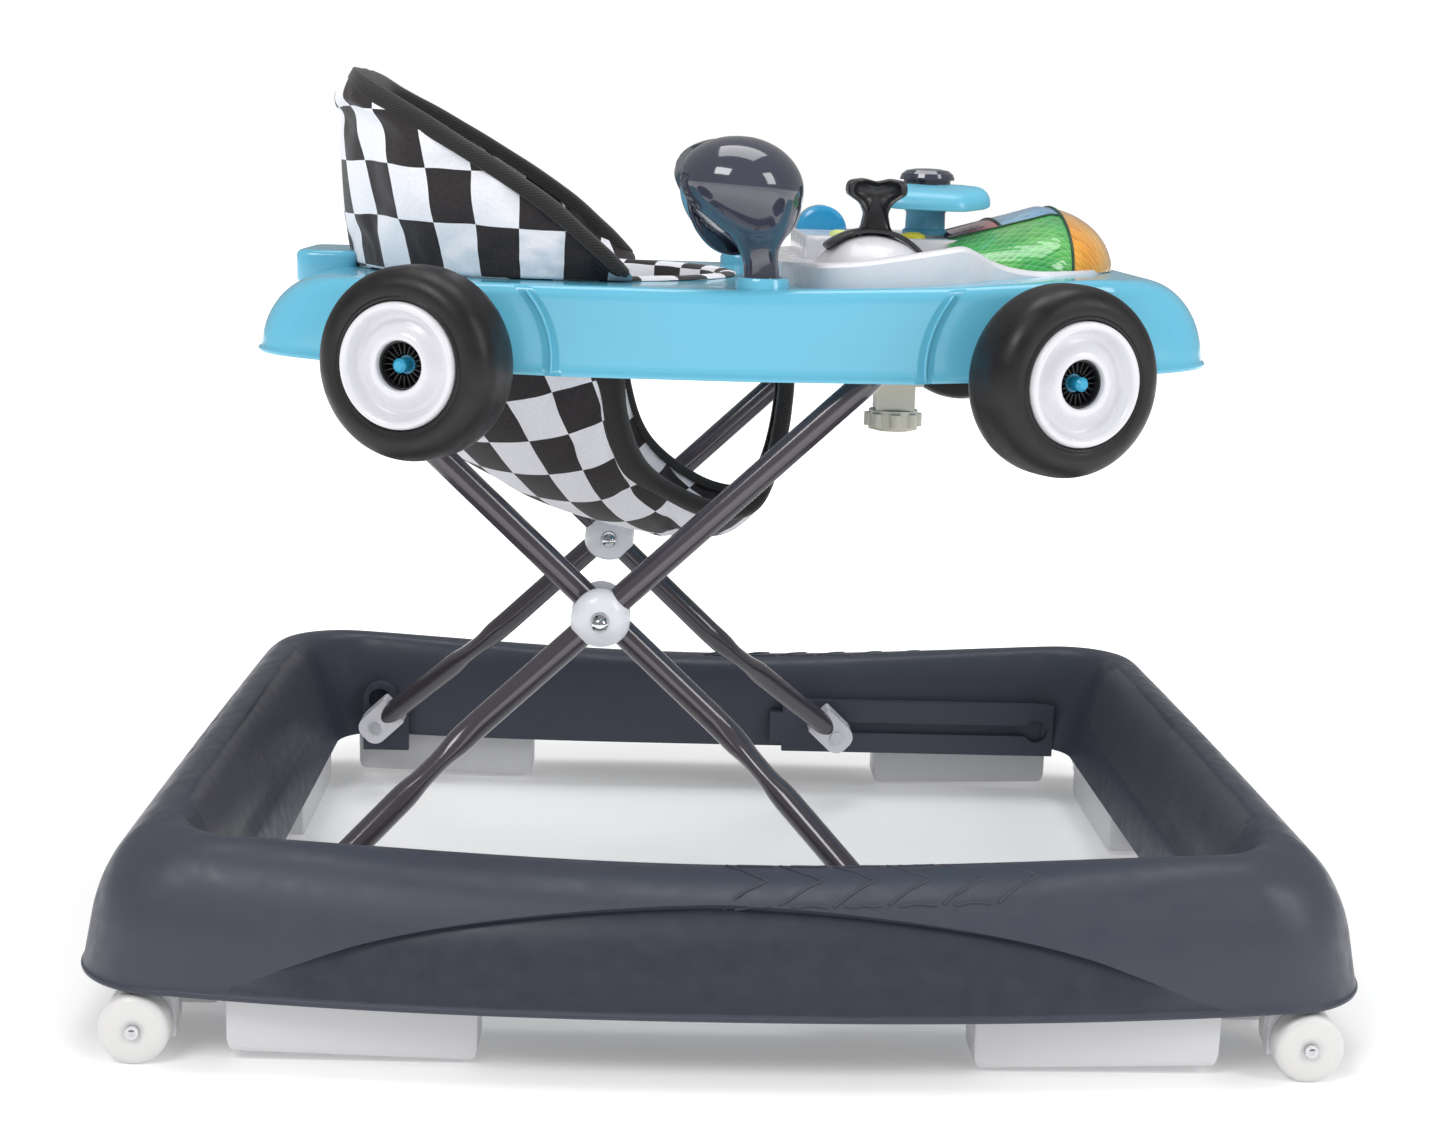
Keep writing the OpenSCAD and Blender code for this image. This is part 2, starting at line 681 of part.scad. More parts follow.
module seat_ring() {
  color(BLACK) translate([seat_x, 0, 0]) rotate_extrude($fn = 96)
    polygon([
      [112, 404], [seat_hole_r - gap, 404], [seat_hole_r - gap, deck_z + 0.2], [121, deck_z + 0.2],
      [121, deck_z + 2], [112, deck_z + 2]
    ]);
}

back_angle = 116;  // how far the backrest wraps round, each way
back_t = 5;
back_low = deck_z + 2.4;

// Height of the backrest's top edge, falling from the back to the front.
function back_top(a) =
  let (x = -cos(a), t = (x + 1) / (1 - cos(back_angle))) 536 - (536 - back_low - 6) * pow(t, 1.35);

function back_radius(a, h) = seat_hole_r - 2.5 + 10 * h * max(0, cos(a));

function back_point(a, h, inset) =
  let (r = back_radius(a, h) - inset)
  [seat_x - r * cos(a), r * sin(a), lerp(back_low, back_top(a), h)];

module seat_back() {
  levels = [0, 0.25, 0.5, 0.75, 0.92, 1];
  rings = [for (i = [-16:16])
    let (a = i * back_angle / 16)
    concat(
      [for (h = levels) back_point(a, h, 0)],
      [for (j = [len(levels) - 1:-1:0]) back_point(a, levels[j], back_t)]
    )];
  color(WHITE) capped_skin(rings);
}

// The hanging seat: a hammock from the back of the seat ring, under the child, up to a front strap.
// Each station is [x, z] of its middle, [x, y, z] of its left edge, and how far it bulges outward.
sling_t = 3;
sling_stations = [
  [[-228, 402], [-227, 16, 402], 0],
  [[-225, 372], [-212, 62, 402], 4],
  [[-208, 338], [-180, 93, 402], 12],
  [[-182, 309], [-146, 107, 400], 20],
  [[-152, 289], [-112, 110, 392], 22],
  [[-124, 274], [-82, 104, 362], 18],
  [[-96, 263], [-70, 92, 318], 12],
  [[-66, 255], [-52, 76, 286], 7],
  [[-36, 249], [-30, 60, 268], 4],
  [[-6, 249], [-4, 44, 260], 2],
  [[16, 266], [18, 32, 272], 1],
  [[30, 296], [30, 24, 298], 0],
  [[36, 330], [36, 20, 330], 0],
  [[34, 366], [34, 20, 366], 0],
  [[14, 398], [14, 20, 398], 0]
];
sling_steps = 6;  // across each half

function sling_point(s, u) =
  let (
    m = [s[0][0], 0, s[0][1]],
    e = s[1],
    t = abs(u),
    bulge = s[2] * sin(180 * t),
    p = lerp(m, e, t)
  )
  [p[0] - bulge * 0.35, (u < 0 ? -1 : 1) * (p[1] + bulge * 0.6), p[2] - bulge * 0.55];

module seat_sling() {
  n = sling_steps;
  // the inside surface is the outside one moved towards the seat's middle
  function inward(p) = let (c = [seat_x + 40, 0, 400], d = c - p) p + d / norm(d) * sling_t;
  rings = [for (s = sling_stations)
    let (row = [for (i = [-n:n]) sling_point(s, i / n)])
    concat(row, [for (i = [2 * n:-1:0]) inward(row[i])])];
  color([0.3, 0.3, 0.32]) capped_skin([for (i = [len(rings) - 1:-1:0]) rings[i]]);
}

// ---------- play console ----------

console_z = deck_z + 0.2;
console_x1 = 145;  // front end of the console
lobe_top = 432;
block_top = 446;
dome_r = 40.6;
dome_c = [81, -85, 409.4];
steer_x = 124;
roller_c = [63, 84, 445];
roller_r = 17;
buttons = [[112, -37], [66, -34], [90, -42]];  // yellow, green, red
button_r = [8, 6.5, 5];

module console_block(x0, x1, y0, y1, r, z0, z1, d) {
  translate([0, 0, z0]) linear_extrude(z1 - z0)
    polygon(rounded(box_corners(x0 + d, x1 - d, y0 + d, y1 - d, max(2, r - d)), 8));
}

module console() {
  wall = 2.5;
  color(WHITE) difference() {
    union() {
      console_block(27, console_x1, -130, 130, 38, console_z, lobe_top, 0);
      console_block(44, console_x1, -52, 112, 12, lobe_top - 1, block_top, 0);
    }
    // hollow for the electronics
    console_block(27, console_x1, -130, 130, 38, console_z - 1, lobe_top - wall, wall);
    console_block(44, console_x1, -52, 112, 12, lobe_top - wall - 0.1, block_top - wall, wall);
    translate(dome_c) sphere(r = dome_r + 0.1, $fn = 96);
    // slope of the deck, which the console follows
    rotate([90, 0, 0]) linear_extrude(300, center = true)
      polygon([
        [0, 400], [250, 400], [ramp_x1, deck_at(ramp_x1) + 0.8], [ramp_x0, deck_z + 0.8], [0, deck_z + 0.2]
      ]);
    translate([steer_x, 0, 400]) cylinder(r = 9 + running, h = 60);
    for (i = [0:2]) translate([buttons[i][0], buttons[i][1], 430]) cylinder(r = button_r[i] + gap, h = 30);
    translate(roller_c) block([-roller_r - 1, -16, -19], [roller_r + 1, 16, 5]);
  }
}

module circuit_board() {
  color([0.1, 0.4, 0.2]) {
    block([48, -44, deck_z + 3], [64, 40, deck_z + 4.6]);
    for (y = [-30, -8, 16]) block([50, y, deck_z + 4.6], [60, y + 10, deck_z + 7]);
  }
}

module speaker() {
  color(BLACK) translate([114, 72, deck_z + 12]) rotate_extrude()
    polygon([[0, -2], [9, -2], [9, 2], [22, 6], [24, 6], [24, 8.5], [20, 8.5], [8, 5], [0, 5]]);
}

module battery_cover() {
  color(SKY * 0.95) difference() {
    block([128, 40, 400], [204, 112, deck_z - tray_wall]);
    block([130.5, 42.5, 402.5], [201.5, 109.5, deck_z]);
  }
}

// White dome that the gear lever rides over.
module lever_dome() {
  color(WHITE) difference() {
    translate(dome_c) sphere(r = dome_r, $fn = 96);
    block([0, -160, 340], [160, 0, 424]);
    translate(dome_c) sphere(r = dome_r - 3, $fn = 96);
  }
}

// Lever with the curved band that slides over the dome; it rocks about the dome's middle.
module gear_lever() {
  half_top = 17;
  neck = 7;
  outline = rounded([
    [-10, 0, 2], [-neck, 8, 6], [-9, 16, 8], [-half_top, 24, 3], [-half_top + 2, 29, 3],
    [half_top - 2, 29, 3], [half_top, 24, 3], [9, 16, 8], [neck, 8, 6], [10, 0, 2]
  ], 4);
  color(BLACK) {
    intersection() {
      difference() {
        translate(dome_c) sphere(r = dome_r + 2.6, $fn = 96);
        translate(dome_c) sphere(r = dome_r + gap, $fn = 96);
      }
      block([dome_c[0] - 26, dome_c[1] - 12, 440], [dome_c[0] + 26, dome_c[1] + 12, 470]);
    }
    translate(dome_c + [2, 7, dome_r + 1]) rotate([90, 0, 0]) linear_extrude(14) polygon(outline);
  }
}

// Steering wheel of a racing car: a plate with two hand openings on a short column.
module steering_wheel() {
  plate = rounded([
    [steer_x - 30, -50, 14], [steer_x + 14, -58, 16], [steer_x + 36, -40, 16], [steer_x + 36, 40, 16],
    [steer_x + 14, 58, 16], [steer_x - 30, 50, 14], [steer_x - 36, 26, 20], [steer_x - 36, -26, 20]
  ], 5);
  opening = rounded([
    [steer_x - 16, 26, 5], [steer_x + 14, 26, 5], [steer_x + 14, 42, 6], [steer_x - 16, 40, 6]
  ], 4);
  color(SKY) difference() {
    union() {
      translate([0, 0, 468]) linear_extrude(11) polygon(plate);
      translate([steer_x, 0, block_top + 0.4]) cylinder(r = 19, h = 22);
      translate([steer_x, 0, 426]) cylinder(r = 9, h = 21);
    }
    both_sides() translate([0, 0, 460]) linear_extrude(30) polygon(opening);
    translate([steer_x, 0, 470]) cylinder(r = 15 + gap, h = 12);
  }
}

module horn_boss() {
  color(SLATE) translate([steer_x, 0, 473.2]) rotate_extrude()
    polygon([
      [0, 0], [15, 0], [15, 8.6], [17.4, 8.7], [17.4, 10], [16.4, 12.4], [13.5, 14.6], [8, 15.7], [0, 16]
    ]);
}

module toy_roller() {
  color([0.2, 0.6, 0.82]) {
    translate([roller_c[0], roller_c[1] + 14, roller_c[2]]) rotate([90, 0, 0]) rotate_extrude()
      polygon([
        [0, 0], [roller_r - 3, 0], [roller_r - 0.9, 0.9], [roller_r, 3],
        [roller_r, 25], [roller_r - 0.9, 27.1], [roller_r - 3, 28], [0, 28]
      ]);
  }
}

module push_button(i, tint) {
  r = button_r[i];
  color(tint) translate([buttons[i][0], buttons[i][1], 438]) rotate_extrude()
    polygon([[0, 0], [r, 0], [r, 9], [r * 0.85, 10.6], [r * 0.5, 11.7], [0, 12]]);
}

module yellow_button() {
  push_button(0, [0.85, 0.8, 0.25]);
}

module green_button() {
  push_button(1, [0.75, 0.85, 0.45]);
}

module red_button() {
  push_button(2, [0.8, 0.3, 0.25]);
}

// ---------- nose ----------

nose_x0 = 146;
nose_x1 = 240;
nose_base = deck_z + nose_rise + 0.2;
nose_t = 3;

// Height and half width of the nose at a station.
function nose_h(x) = x > 196 ? 38 * sqrt(max(0, 1 - pow((x - 196) / 46, 2))) : 38 - 0.31 * (196 - x);
function nose_w(x) = 99 * sqrt(max(0, 1 - pow((x - 180) / (x > 180 ? 63 : 90), 2)));

function nose_point(x, a, inset) =
  [
    x - inset * max(0, x - 200) / 40,
    (nose_w(x) - inset) * cos(a),
    nose_base + (nose_h(x) - inset) * sin(a)
  ];

// Closed patch of the nose between two stations and two angles.
module nose_patch(x0, x1, a0, a1, nx, na) {
  rings = [for (i = [0:nx])
    let (x = lerp(x0, x1, i / nx))
    concat(
      [for (j = [0:na]) nose_point(x, lerp(a0, a1, j / na), 0)],
      [for (j = [na:-1:0]) nose_point(x, lerp(a0, a1, j / na), nose_t)]
    )];
  capped_skin([for (i = [len(rings) - 1:-1:0]) rings[i]]);
}

seam = 0.4;  // gap between two colours of the nose
front_seam_x = 204;
mid_seam_x = 166;

module nose_green() {
  color([0.4, 0.75, 0.35]) both_sides() nose_patch(nose_x0, front_seam_x, 2, 62, 8, 6);
}

module nose_red() {
  color([0.82, 0.25, 0.28]) nose_patch(nose_x0, mid_seam_x, 63, 117, 4, 6);
}

module nose_blue() {
  color([0.45, 0.72, 0.9]) nose_patch(mid_seam_x + seam, front_seam_x, 63, 117, 4, 6);
}

module nose_orange() {
  color(AMBER) nose_patch(front_seam_x + seam, nose_x1, 2, 178, 8, 18);
}

// ---------- mirrors ----------

mirror_tilt = 18;  // the housing leans back over its stem
egg_z = 44;  // middle of the housing, along its stem
egg_r = 35;
face_turn = 46;  // how far the glass turns from the rear towards the child
face_depth = 15;  // distance of the glass from the housing's middle

// Places a disc's axis through the middle of the housing, pointing at the child.
module face_frame() {
  rotate([0, -mirror_tilt, 0]) translate([0, 0, egg_z])
    rotate([0, 0, -face_turn]) rotate([0, -90, 0]) children();
}

// Housing drawn for the right side, standing on its stem at the origin.
module mirror_housing(glass) {
  egg = concat(
    [[0, 0], [12.5, 0], [12.6, 6], [14, 12]],
    [for (a = [-50:10:80]) [egg_r * cos(a), egg_z + egg_r * sin(a)]],
    [[0, egg_z + egg_r + 0.1]]
  );
  if (glass)
    face_frame() translate([0, 0, face_depth - 2.2]) cylinder(r = 29, h = 2);
  else {
    difference() {
      rotate([0, -mirror_tilt, 0]) rotate_extrude() polygon(egg);
      face_frame() {
        translate([-60, -60, face_depth]) cube([120, 120, 60]);
        translate([0, 0, face_depth - 2.3]) cylinder(r = 29.2, h = 10);
      }
      translate([0, 0, -10]) cylinder(r = 30, h = 10.5);
    }
    cylinder(r = 12, h = 5);
    translate([0, 0, -4]) cylinder(r = 13, h = 5);
    translate([0, 0, -13]) cylinder(r = mirror_peg_r, h = 10);
  }
}

module mirror_at(side, glass) {
  mirror([0, side > 0 ? 1 : 0, 0]) translate([mirror_x, -mirror_y, deck_z + 9.4]) mirror_housing(glass);
}

// ---------- one line per node ----------

base_shell();
slide_rail(1);  // slide_rail_left
slide_rail(-1);  // slide_rail_right
pivot_brackets();
base_pads();
castor_sockets();
castor_fork(1, 1);  // castor_fork_front_left
castor_fork(1, -1);  // castor_fork_front_right
castor_fork(-1, 1);  // castor_fork_rear_left
castor_fork(-1, -1);  // castor_fork_rear_right
castor_wheels(1, 1);  // castor_wheels_front_left
castor_wheels(1, -1);  // castor_wheels_front_right
castor_wheels(-1, 1);  // castor_wheels_rear_left
castor_wheels(-1, -1);  // castor_wheels_rear_right
frame_a_tube();
frame_a_feet();
rear_pivot_pins();
hub_caps_outer();
frame_b_tube();
frame_b_feet();
slider_pins();
hub_caps_inner();
hub_bolts();
adjuster_block();
adjuster_knob();
tray_shell();
rear_block();
hinge_clips();
wheel_pins();
seat_ring();
seat_back();
seat_sling();
console();
circuit_board();
speaker();
battery_cover();
lever_dome();
nose_red();
nose_blue();
nose_green();
nose_orange();
steering_wheel();
horn_boss();
gear_lever();
toy_roller();
yellow_button();
green_button();
red_button();
color(SLATE) mirror_at(1, false);  // mirror_left
color(SLATE) mirror_at(-1, false);  // mirror_right
color(STEEL) mirror_at(1, true);  // mirror_glass_left
color(STEEL) mirror_at(-1, true);  // mirror_glass_right
tyre(1, 1);  // tyre_front_left
tyre(1, -1);  // tyre_front_right
tyre(-1, 1);  // tyre_rear_left
tyre(-1, -1);  // tyre_rear_right
rim(1, 1);  // rim_front_left
rim(1, -1);  // rim_front_right
rim(-1, 1);  // rim_rear_left
rim(-1, -1);  // rim_rear_right
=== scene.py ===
"""Looks of the folding baby walker: padded check seat, gloss mouldings, tubes, castors and toys.
Lengths are written in millimetres and scaled to metres by MM when a mesh is made."""
import math

import bpy
import numpy as np
from mathutils import Matrix, Vector, noise


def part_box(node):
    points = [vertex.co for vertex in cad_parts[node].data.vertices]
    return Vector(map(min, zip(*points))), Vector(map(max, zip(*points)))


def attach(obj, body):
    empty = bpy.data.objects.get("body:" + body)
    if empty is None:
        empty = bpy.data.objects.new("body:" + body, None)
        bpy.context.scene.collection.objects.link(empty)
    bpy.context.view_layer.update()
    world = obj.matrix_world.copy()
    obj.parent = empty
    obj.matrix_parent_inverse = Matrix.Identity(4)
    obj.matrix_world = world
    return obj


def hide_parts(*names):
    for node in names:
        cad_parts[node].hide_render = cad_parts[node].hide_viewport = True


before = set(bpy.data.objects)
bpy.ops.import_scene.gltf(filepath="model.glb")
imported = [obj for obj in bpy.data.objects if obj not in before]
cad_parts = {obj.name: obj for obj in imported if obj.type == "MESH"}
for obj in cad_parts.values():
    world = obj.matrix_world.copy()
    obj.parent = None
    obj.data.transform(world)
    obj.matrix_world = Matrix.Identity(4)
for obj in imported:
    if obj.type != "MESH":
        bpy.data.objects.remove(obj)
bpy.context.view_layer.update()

MM = 0.001
SIDES = ((1, 1), (1, -1), (-1, 1), (-1, -1))
CORNER = {(1, 1): "front_left", (1, -1): "front_right", (-1, 1): "rear_left", (-1, -1): "rear_right"}


# ---------------------------------------------------------------- materials

class Material:
    """A node material with short ways to add and join nodes."""

    def __init__(self, name):
        self.mat = bpy.data.materials.new(name)
        self.mat.use_nodes = True
        self.tree = self.mat.node_tree
        self.bsdf = self.tree.nodes["Principled BSDF"]

    def add(self, kind, values=None, **settings):
        made = self.tree.nodes.new("ShaderNode" + kind)
        for key, value in settings.items():
            setattr(made, key, value)
        for key, value in (values or {}).items():
            if isinstance(value, bpy.types.NodeSocket):
                self.tree.links.new(value, made.inputs[key])
            else:
                made.inputs[key].default_value = value
        return made

    def set(self, **values):
        for key, value in values.items():
            socket = self.bsdf.inputs[key.replace("_", " ")]
            if isinstance(value, bpy.types.NodeSocket):
                self.tree.links.new(value, socket)
            else:
                socket.default_value = value

    def math(self, operation, a, b=0.0, c=0.0):
        return self.add("Math", {0: a, 1: b, 2: c}, operation=operation).outputs[0]

    def position(self):
        return self.add("TexCoord").outputs["Object"]

    def noise(self, scale, detail=3.0, vector=None, rough=0.5):
        made = self.add("TexNoise", {"Scale": scale, "Detail": detail, "Roughness": rough})
        self.tree.links.new(vector or self.position(), made.inputs["Vector"])
        return made.outputs["Fac"]

    def ranged(self, value, low, high, start=0.3, end=0.7):
        return self.add("MapRange", {0: value, 1: start, 2: end, 3: low, 4: high}).outputs[0]

    def mix(self, factor, a, b):
        made = self.add("Mix", data_type="RGBA")
        for socket, value in ((0, factor), (6, a), (7, b)):
            if isinstance(value, bpy.types.NodeSocket):
                self.tree.links.new(value, made.inputs[socket])
            else:
                made.inputs[socket].default_value = value
        return made.outputs[2]

    def bump(self, height, strength, distance):
        made = self.add("Bump", {"Height": height, "Strength": strength, "Distance": distance})
        self.set(Normal=made.outputs[0])
        return made


def linear(rgb, gain=1.0):
    """sRGB 0-255 to the renderer's linear colour."""
    out = []
    for c in rgb:
        c = c / 255
        out.append(gain * (c / 12.92 if c <= 0.04045 else ((c + 0.055) / 1.055) ** 2.4))
    return (*out, 1.0)


def moulded(name, rgb, rough=0.25, coat=0.0, grain=0.15, shade=0.06, spec=0.5, waves=0.0, see_through=0.0):
    """Moulded plastic: faint flow marks in the colour, uneven gloss, fine orange peel and light edge wear."""
    m = Material(name)
    base = linear(rgb)
    dark = linear(rgb, 1 - shade)
    light = tuple(min(1.0, c * 1.15 + 0.02) for c in base[:3]) + (1.0,)
    flow = m.ranged(m.noise(7.0, 2.0), 0.0, 1.0)
    worn = m.ranged(m.add("NewGeometry").outputs["Pointiness"], 0.0, 0.3, 0.58, 0.72)
    colour = m.mix(worn, m.mix(flow, dark, base), light)
    m.set(Base_Color=colour)
    m.set(Roughness=m.ranged(m.noise(90.0, 4.0), rough * 0.8, rough * 1.25))
    m.set(Specular_IOR_Level=spec, Coat_Weight=coat, Coat_Roughness=0.06)
    m.set(Transmission_Weight=see_through)
    height = m.math("MULTIPLY", m.noise(620.0, 1.0), grain)
    if waves:
        height = m.math("MULTIPLY_ADD", m.noise(14.0, 1.0), waves, height)
    m.bump(height, 0.35, 0.0004)
    return m.mat


def metal(name, rgb, rough=0.12):
    """Bright metal with a slightly uneven gloss."""
    m = Material(name)
    m.set(Base_Color=m.mix(m.ranged(m.noise(60.0), 0, 1), linear(rgb, 0.9), linear(rgb)))
    m.set(Metallic=1.0, Roughness=m.ranged(m.noise(500.0), rough * 0.7, rough * 1.6))
    m.bump(m.noise(900.0), 0.08, 0.0002)
    return m.mat


WHITE_CLOTH = (236, 236, 242)
DARK_CLOTH = (50, 46, 48)
CHECK_W, CHECK_H = 27.0, 31.0   # one square of the print


def check_cloth(name, phase, skew=0.0):
    """Printed check on a plain weave. The piece's UV map is its flat cloth in metres."""
    m = Material(name)
    uv = m.add("UVMap").outputs["UV"]
    wobble = m.add("TexNoise", {"Scale": 34.0, "Detail": 1.0, "Vector": uv}).outputs["Color"]
    shift = m.add("VectorMath", {0: wobble, 1: (0.5, 0.5, 0.5)}, operation="SUBTRACT").outputs[0]
    shift = m.add("VectorMath", {0: shift, "Scale": 0.0022}, operation="SCALE").outputs[0]
    bent = m.add("VectorMath", {0: uv, 1: shift}, operation="ADD").outputs[0]
    turned = m.add("VectorRotate", {"Vector": bent, "Angle": skew}, rotation_type="Z_AXIS").outputs[0]
    per_metre = (1 / (CHECK_W * MM), 1 / (CHECK_H * MM), 0)
    cells = m.add("VectorMath", {0: turned, 1: per_metre}, operation="MULTIPLY").outputs[0]
    cells = m.add("VectorMath", {0: cells, 1: (phase[0], phase[1], 0.5)}, operation="ADD").outputs[0]
    check = m.add("TexChecker", {"Vector": cells, "Scale": 1.0}).outputs["Fac"]
    mottled = m.ranged(m.noise(420.0, 2.0, uv), 0.0, 1.0)
    white = m.mix(mottled, linear(WHITE_CLOTH, 0.93), linear(WHITE_CLOTH))
    dark = m.mix(mottled, linear(DARK_CLOTH, 0.8), linear(DARK_CLOTH, 1.15))
    m.set(Base_Color=m.mix(check, white, dark))
    weave(m, uv)
    return m.mat


def weave(m, uv, pitch=0.0008, depth=0.5):
    """Over-and-under threads as bump, with the soft sheen of cloth."""
    parts = m.add("SeparateXYZ", {0: uv})
    turns = 2 * math.pi / pitch
    across = m.math("SINE", m.math("MULTIPLY", parts.outputs[0], turns))
    along = m.math("SINE", m.math("MULTIPLY", parts.outputs[1], turns))
    threads = m.math("MULTIPLY", across, along)
    crease = m.noise(55.0, 4.0, uv)
    height = m.math("MULTIPLY_ADD", crease, 3.0, m.math("MULTIPLY", threads, depth))
    m.bump(height, 0.35, 0.0005)
    m.set(Roughness=0.86, Sheen_Weight=0.25, Sheen_Roughness=0.4, Specular_IOR_Level=0.25)


def webbing(name, rgb=(34, 32, 32)):
    """Ribbed black binding tape."""
    m = Material(name)
    uv = m.add("UVMap").outputs["UV"]
    ribs = m.add("TexWave", {"Vector": uv, "Scale": 260.0, "Distortion": 0.4}, bands_direction="DIAGONAL")
    m.set(Base_Color=m.mix(ribs.outputs["Fac"], linear(rgb, 0.75), linear(rgb, 1.5)))
    m.bump(m.math("ADD", ribs.outputs["Fac"], m.noise(70.0, 3.0, uv)), 0.4, 0.0006)
    m.set(Roughness=0.8, Sheen_Weight=0.2, Specular_IOR_Level=0.3)
    return m.mat


FACET_X, FACET_S = 4.6, 3.6   # half a facet's length along and round the nose


def faceted_film(name, rgb, rgb2):
    """Coloured clear plastic over quilted diamonds: two tones to a diamond and a random darkening per diamond
    as painted facet shade, with bright lines between as painted highlights.
    """
    m = Material(name)
    flat = m.add("SeparateXYZ", {0: m.add("UVMap").outputs["UV"]})
    along = m.math("MULTIPLY", flat.outputs[0], 0.5 / (FACET_X * MM))
    round_ = m.math("MULTIPLY", flat.outputs[1], 0.5 / (FACET_S * MM))
    u, v = m.math("ADD", along, round_), m.math("SUBTRACT", along, round_)
    cell = m.add("CombineXYZ", {0: m.math("FLOOR", u, 0.0), 1: m.math("FLOOR", v, 0.0)}).outputs[0]
    chance = m.add("TexWhiteNoise", {"Vector": cell}, noise_dimensions="3D").outputs["Value"]
    fu, fv = m.math("FRACT", u, 0.0), m.math("FRACT", v, 0.0)
    half = m.math("GREATER_THAN", fu, fv)
    # the darker half of each diamond and its random darkening are painted facet shade
    tone = m.math("MULTIPLY_ADD", half, 0.45, m.math("MULTIPLY", chance, 0.55))
    film = m.mix(m.ranged(m.noise(16.0, 1.0), 0.0, 1.0, 0.38, 0.62), linear(rgb), linear(rgb2))
    painted_ridge_highlight = tuple(0.55 * c + 0.45 * w for c, w in zip(linear(rgb2), (0.95, 0.95, 0.85, 1.0)))
    painted_facet_shade = tuple(0.56 * c for c in linear(rgb)[:3]) + (1.0,)
    shaded = m.mix(m.ranged(tone, 0.0, 0.75, 0.1, 1.0), film, painted_facet_shade)
    # the bright lines between the diamonds are painted highlights on the ridges
    edge = m.math("MINIMUM", fu, fv)
    line = m.ranged(edge, 0.5, 0.0, 0.0, 0.1)
    m.set(Base_Color=m.mix(line, shaded, painted_ridge_highlight))
    m.set(Roughness=m.ranged(m.noise(200.0), 0.1, 0.2), Coat_Weight=0.6, Coat_Roughness=0.05)
    m.bump(m.math("MULTIPLY", tone, 0.6), 0.25, 0.0004)
    return m.mat


MATERIALS = {
    "slate": moulded("slate_plastic", (64, 67, 79), 0.4, shade=0.06, spec=0.35, waves=0.8),
    # lighter slate for the dished end panels: painted reflection standing in for their gloss
    "slate_panel_painted_sheen": moulded("slate_panel_painted_sheen", (72, 73, 81), 0.34, grain=0.02, shade=0.03, spec=0.4, waves=0.5),
    # darker slate for the sunken arch: painted shade
    "slate_painted_shade": moulded("slate_recess_painted_shade", (48, 50, 63), 0.36, coat=0.1, shade=0.05, waves=0.6),
    "tube": moulded("tube_paint", (66, 61, 68), 0.16, coat=0.6, grain=0.25),
    "sky": moulded("sky_plastic", (98, 180, 208), 0.2, coat=0.4, shade=0.05, waves=0.8),
    "sky_soft": moulded("sky_plastic_satin", (98, 180, 208), 0.32, coat=0.15),
    "white": moulded("white_plastic", (214, 214, 219), 0.24, coat=0.3, shade=0.03, waves=0.6),
    "pad": moulded("pad_plastic", (212, 212, 215), 0.38, shade=0.03),
    "ivory": moulded("wheel_ivory", (218, 217, 216), 0.34, shade=0.02),
    "clear": moulded("milky_plastic", (232, 236, 240), 0.2, coat=0.4, shade=0.02, see_through=0.15),
    "tyre": moulded("tyre_plastic", (27, 25, 27), 0.4, grain=0.4, shade=0.1, spec=0.35),
    "black": moulded("black_plastic", (40, 40, 43), 0.34, grain=0.4),
    "cap": moulded("cap_plastic", (216, 218, 224), 0.3, coat=0.3, shade=0.02),
    "gloss_black": moulded("bulb_plastic", (56, 58, 72), 0.1, coat=0.9, grain=0.05, waves=0.5),
    "beige": moulded("beige_plastic", (206, 200, 184), 0.45, grain=0.4),
    "teal": moulded("teal_plastic", (38, 152, 190), 0.25, coat=0.3),
    "blue": moulded("blue_plastic", (44, 154, 204), 0.22, coat=0.4),
    "yellow": moulded("yellow_plastic", (214, 204, 60), 0.25, coat=0.3),
    "lime": moulded("lime_plastic", (206, 222, 140), 0.25, coat=0.3),
    "coral": moulded("coral_plastic", (210, 96, 80), 0.25, coat=0.3),
    "board": moulded("board_green", (30, 92, 52), 0.4),
    "steel": metal("bright_steel", (205, 206, 210)),
    "mirror": metal("mirror_film", (220, 226, 232), 0.03),
    "nose_red": faceted_film("nose_red", (222, 52, 74), (236, 96, 104)),
    "nose_blue": faceted_film("nose_blue", (70, 158, 218), (150, 205, 235)),
    "nose_green": faceted_film("nose_green", (58, 170, 84), (140, 205, 110)),
    "nose_orange": faceted_film("nose_orange", (240, 158, 34), (246, 190, 84)),
    "line": moulded("seam_line", (30, 70, 50), 0.4),
    "tape": webbing("binding_tape"),
}


# ---------------------------------------------------------------- mesh helpers

def dress(obj, material, smooth=40.0):
    """One material, and smooth shading up to an edge angle in degrees."""
    obj.data.materials.clear()
    obj.data.materials.append(MATERIALS[material] if isinstance(material, str) else material)
    if smooth:
        obj.data.shade_smooth()
        obj.data.set_sharp_from_angle(angle=math.radians(smooth))
    return obj


def linked(name, data):
    """A new object in the scene for a mesh, a light or a camera."""
    obj = bpy.data.objects.new(name, data)
    bpy.context.scene.collection.objects.link(obj)
    return obj


def piece(name, verts, faces, material, body, slot, uv=None, smooth=40.0, replaces=()):
    """A mesh object from points in millimetres that rides on a body."""
    mesh = bpy.data.meshes.new(name)
    points = [tuple(float(c) * MM for c in v) for v in verts]
    mesh.from_pydata(points, [], [tuple(int(i) for i in f) for f in faces])
    obj = linked(name, mesh)
    if uv is not None:
        layer = mesh.uv_layers.new(name="flat")
        index = np.empty(len(mesh.loops), int)
        mesh.loops.foreach_get("vertex_index", index)
        layer.data.foreach_set("uv", (np.asarray(uv, float)[index] * MM).ravel())
    dress(obj, material, smooth)
    if body:
        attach(obj, body)
    if replaces:
        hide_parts(*replaces)
    return obj


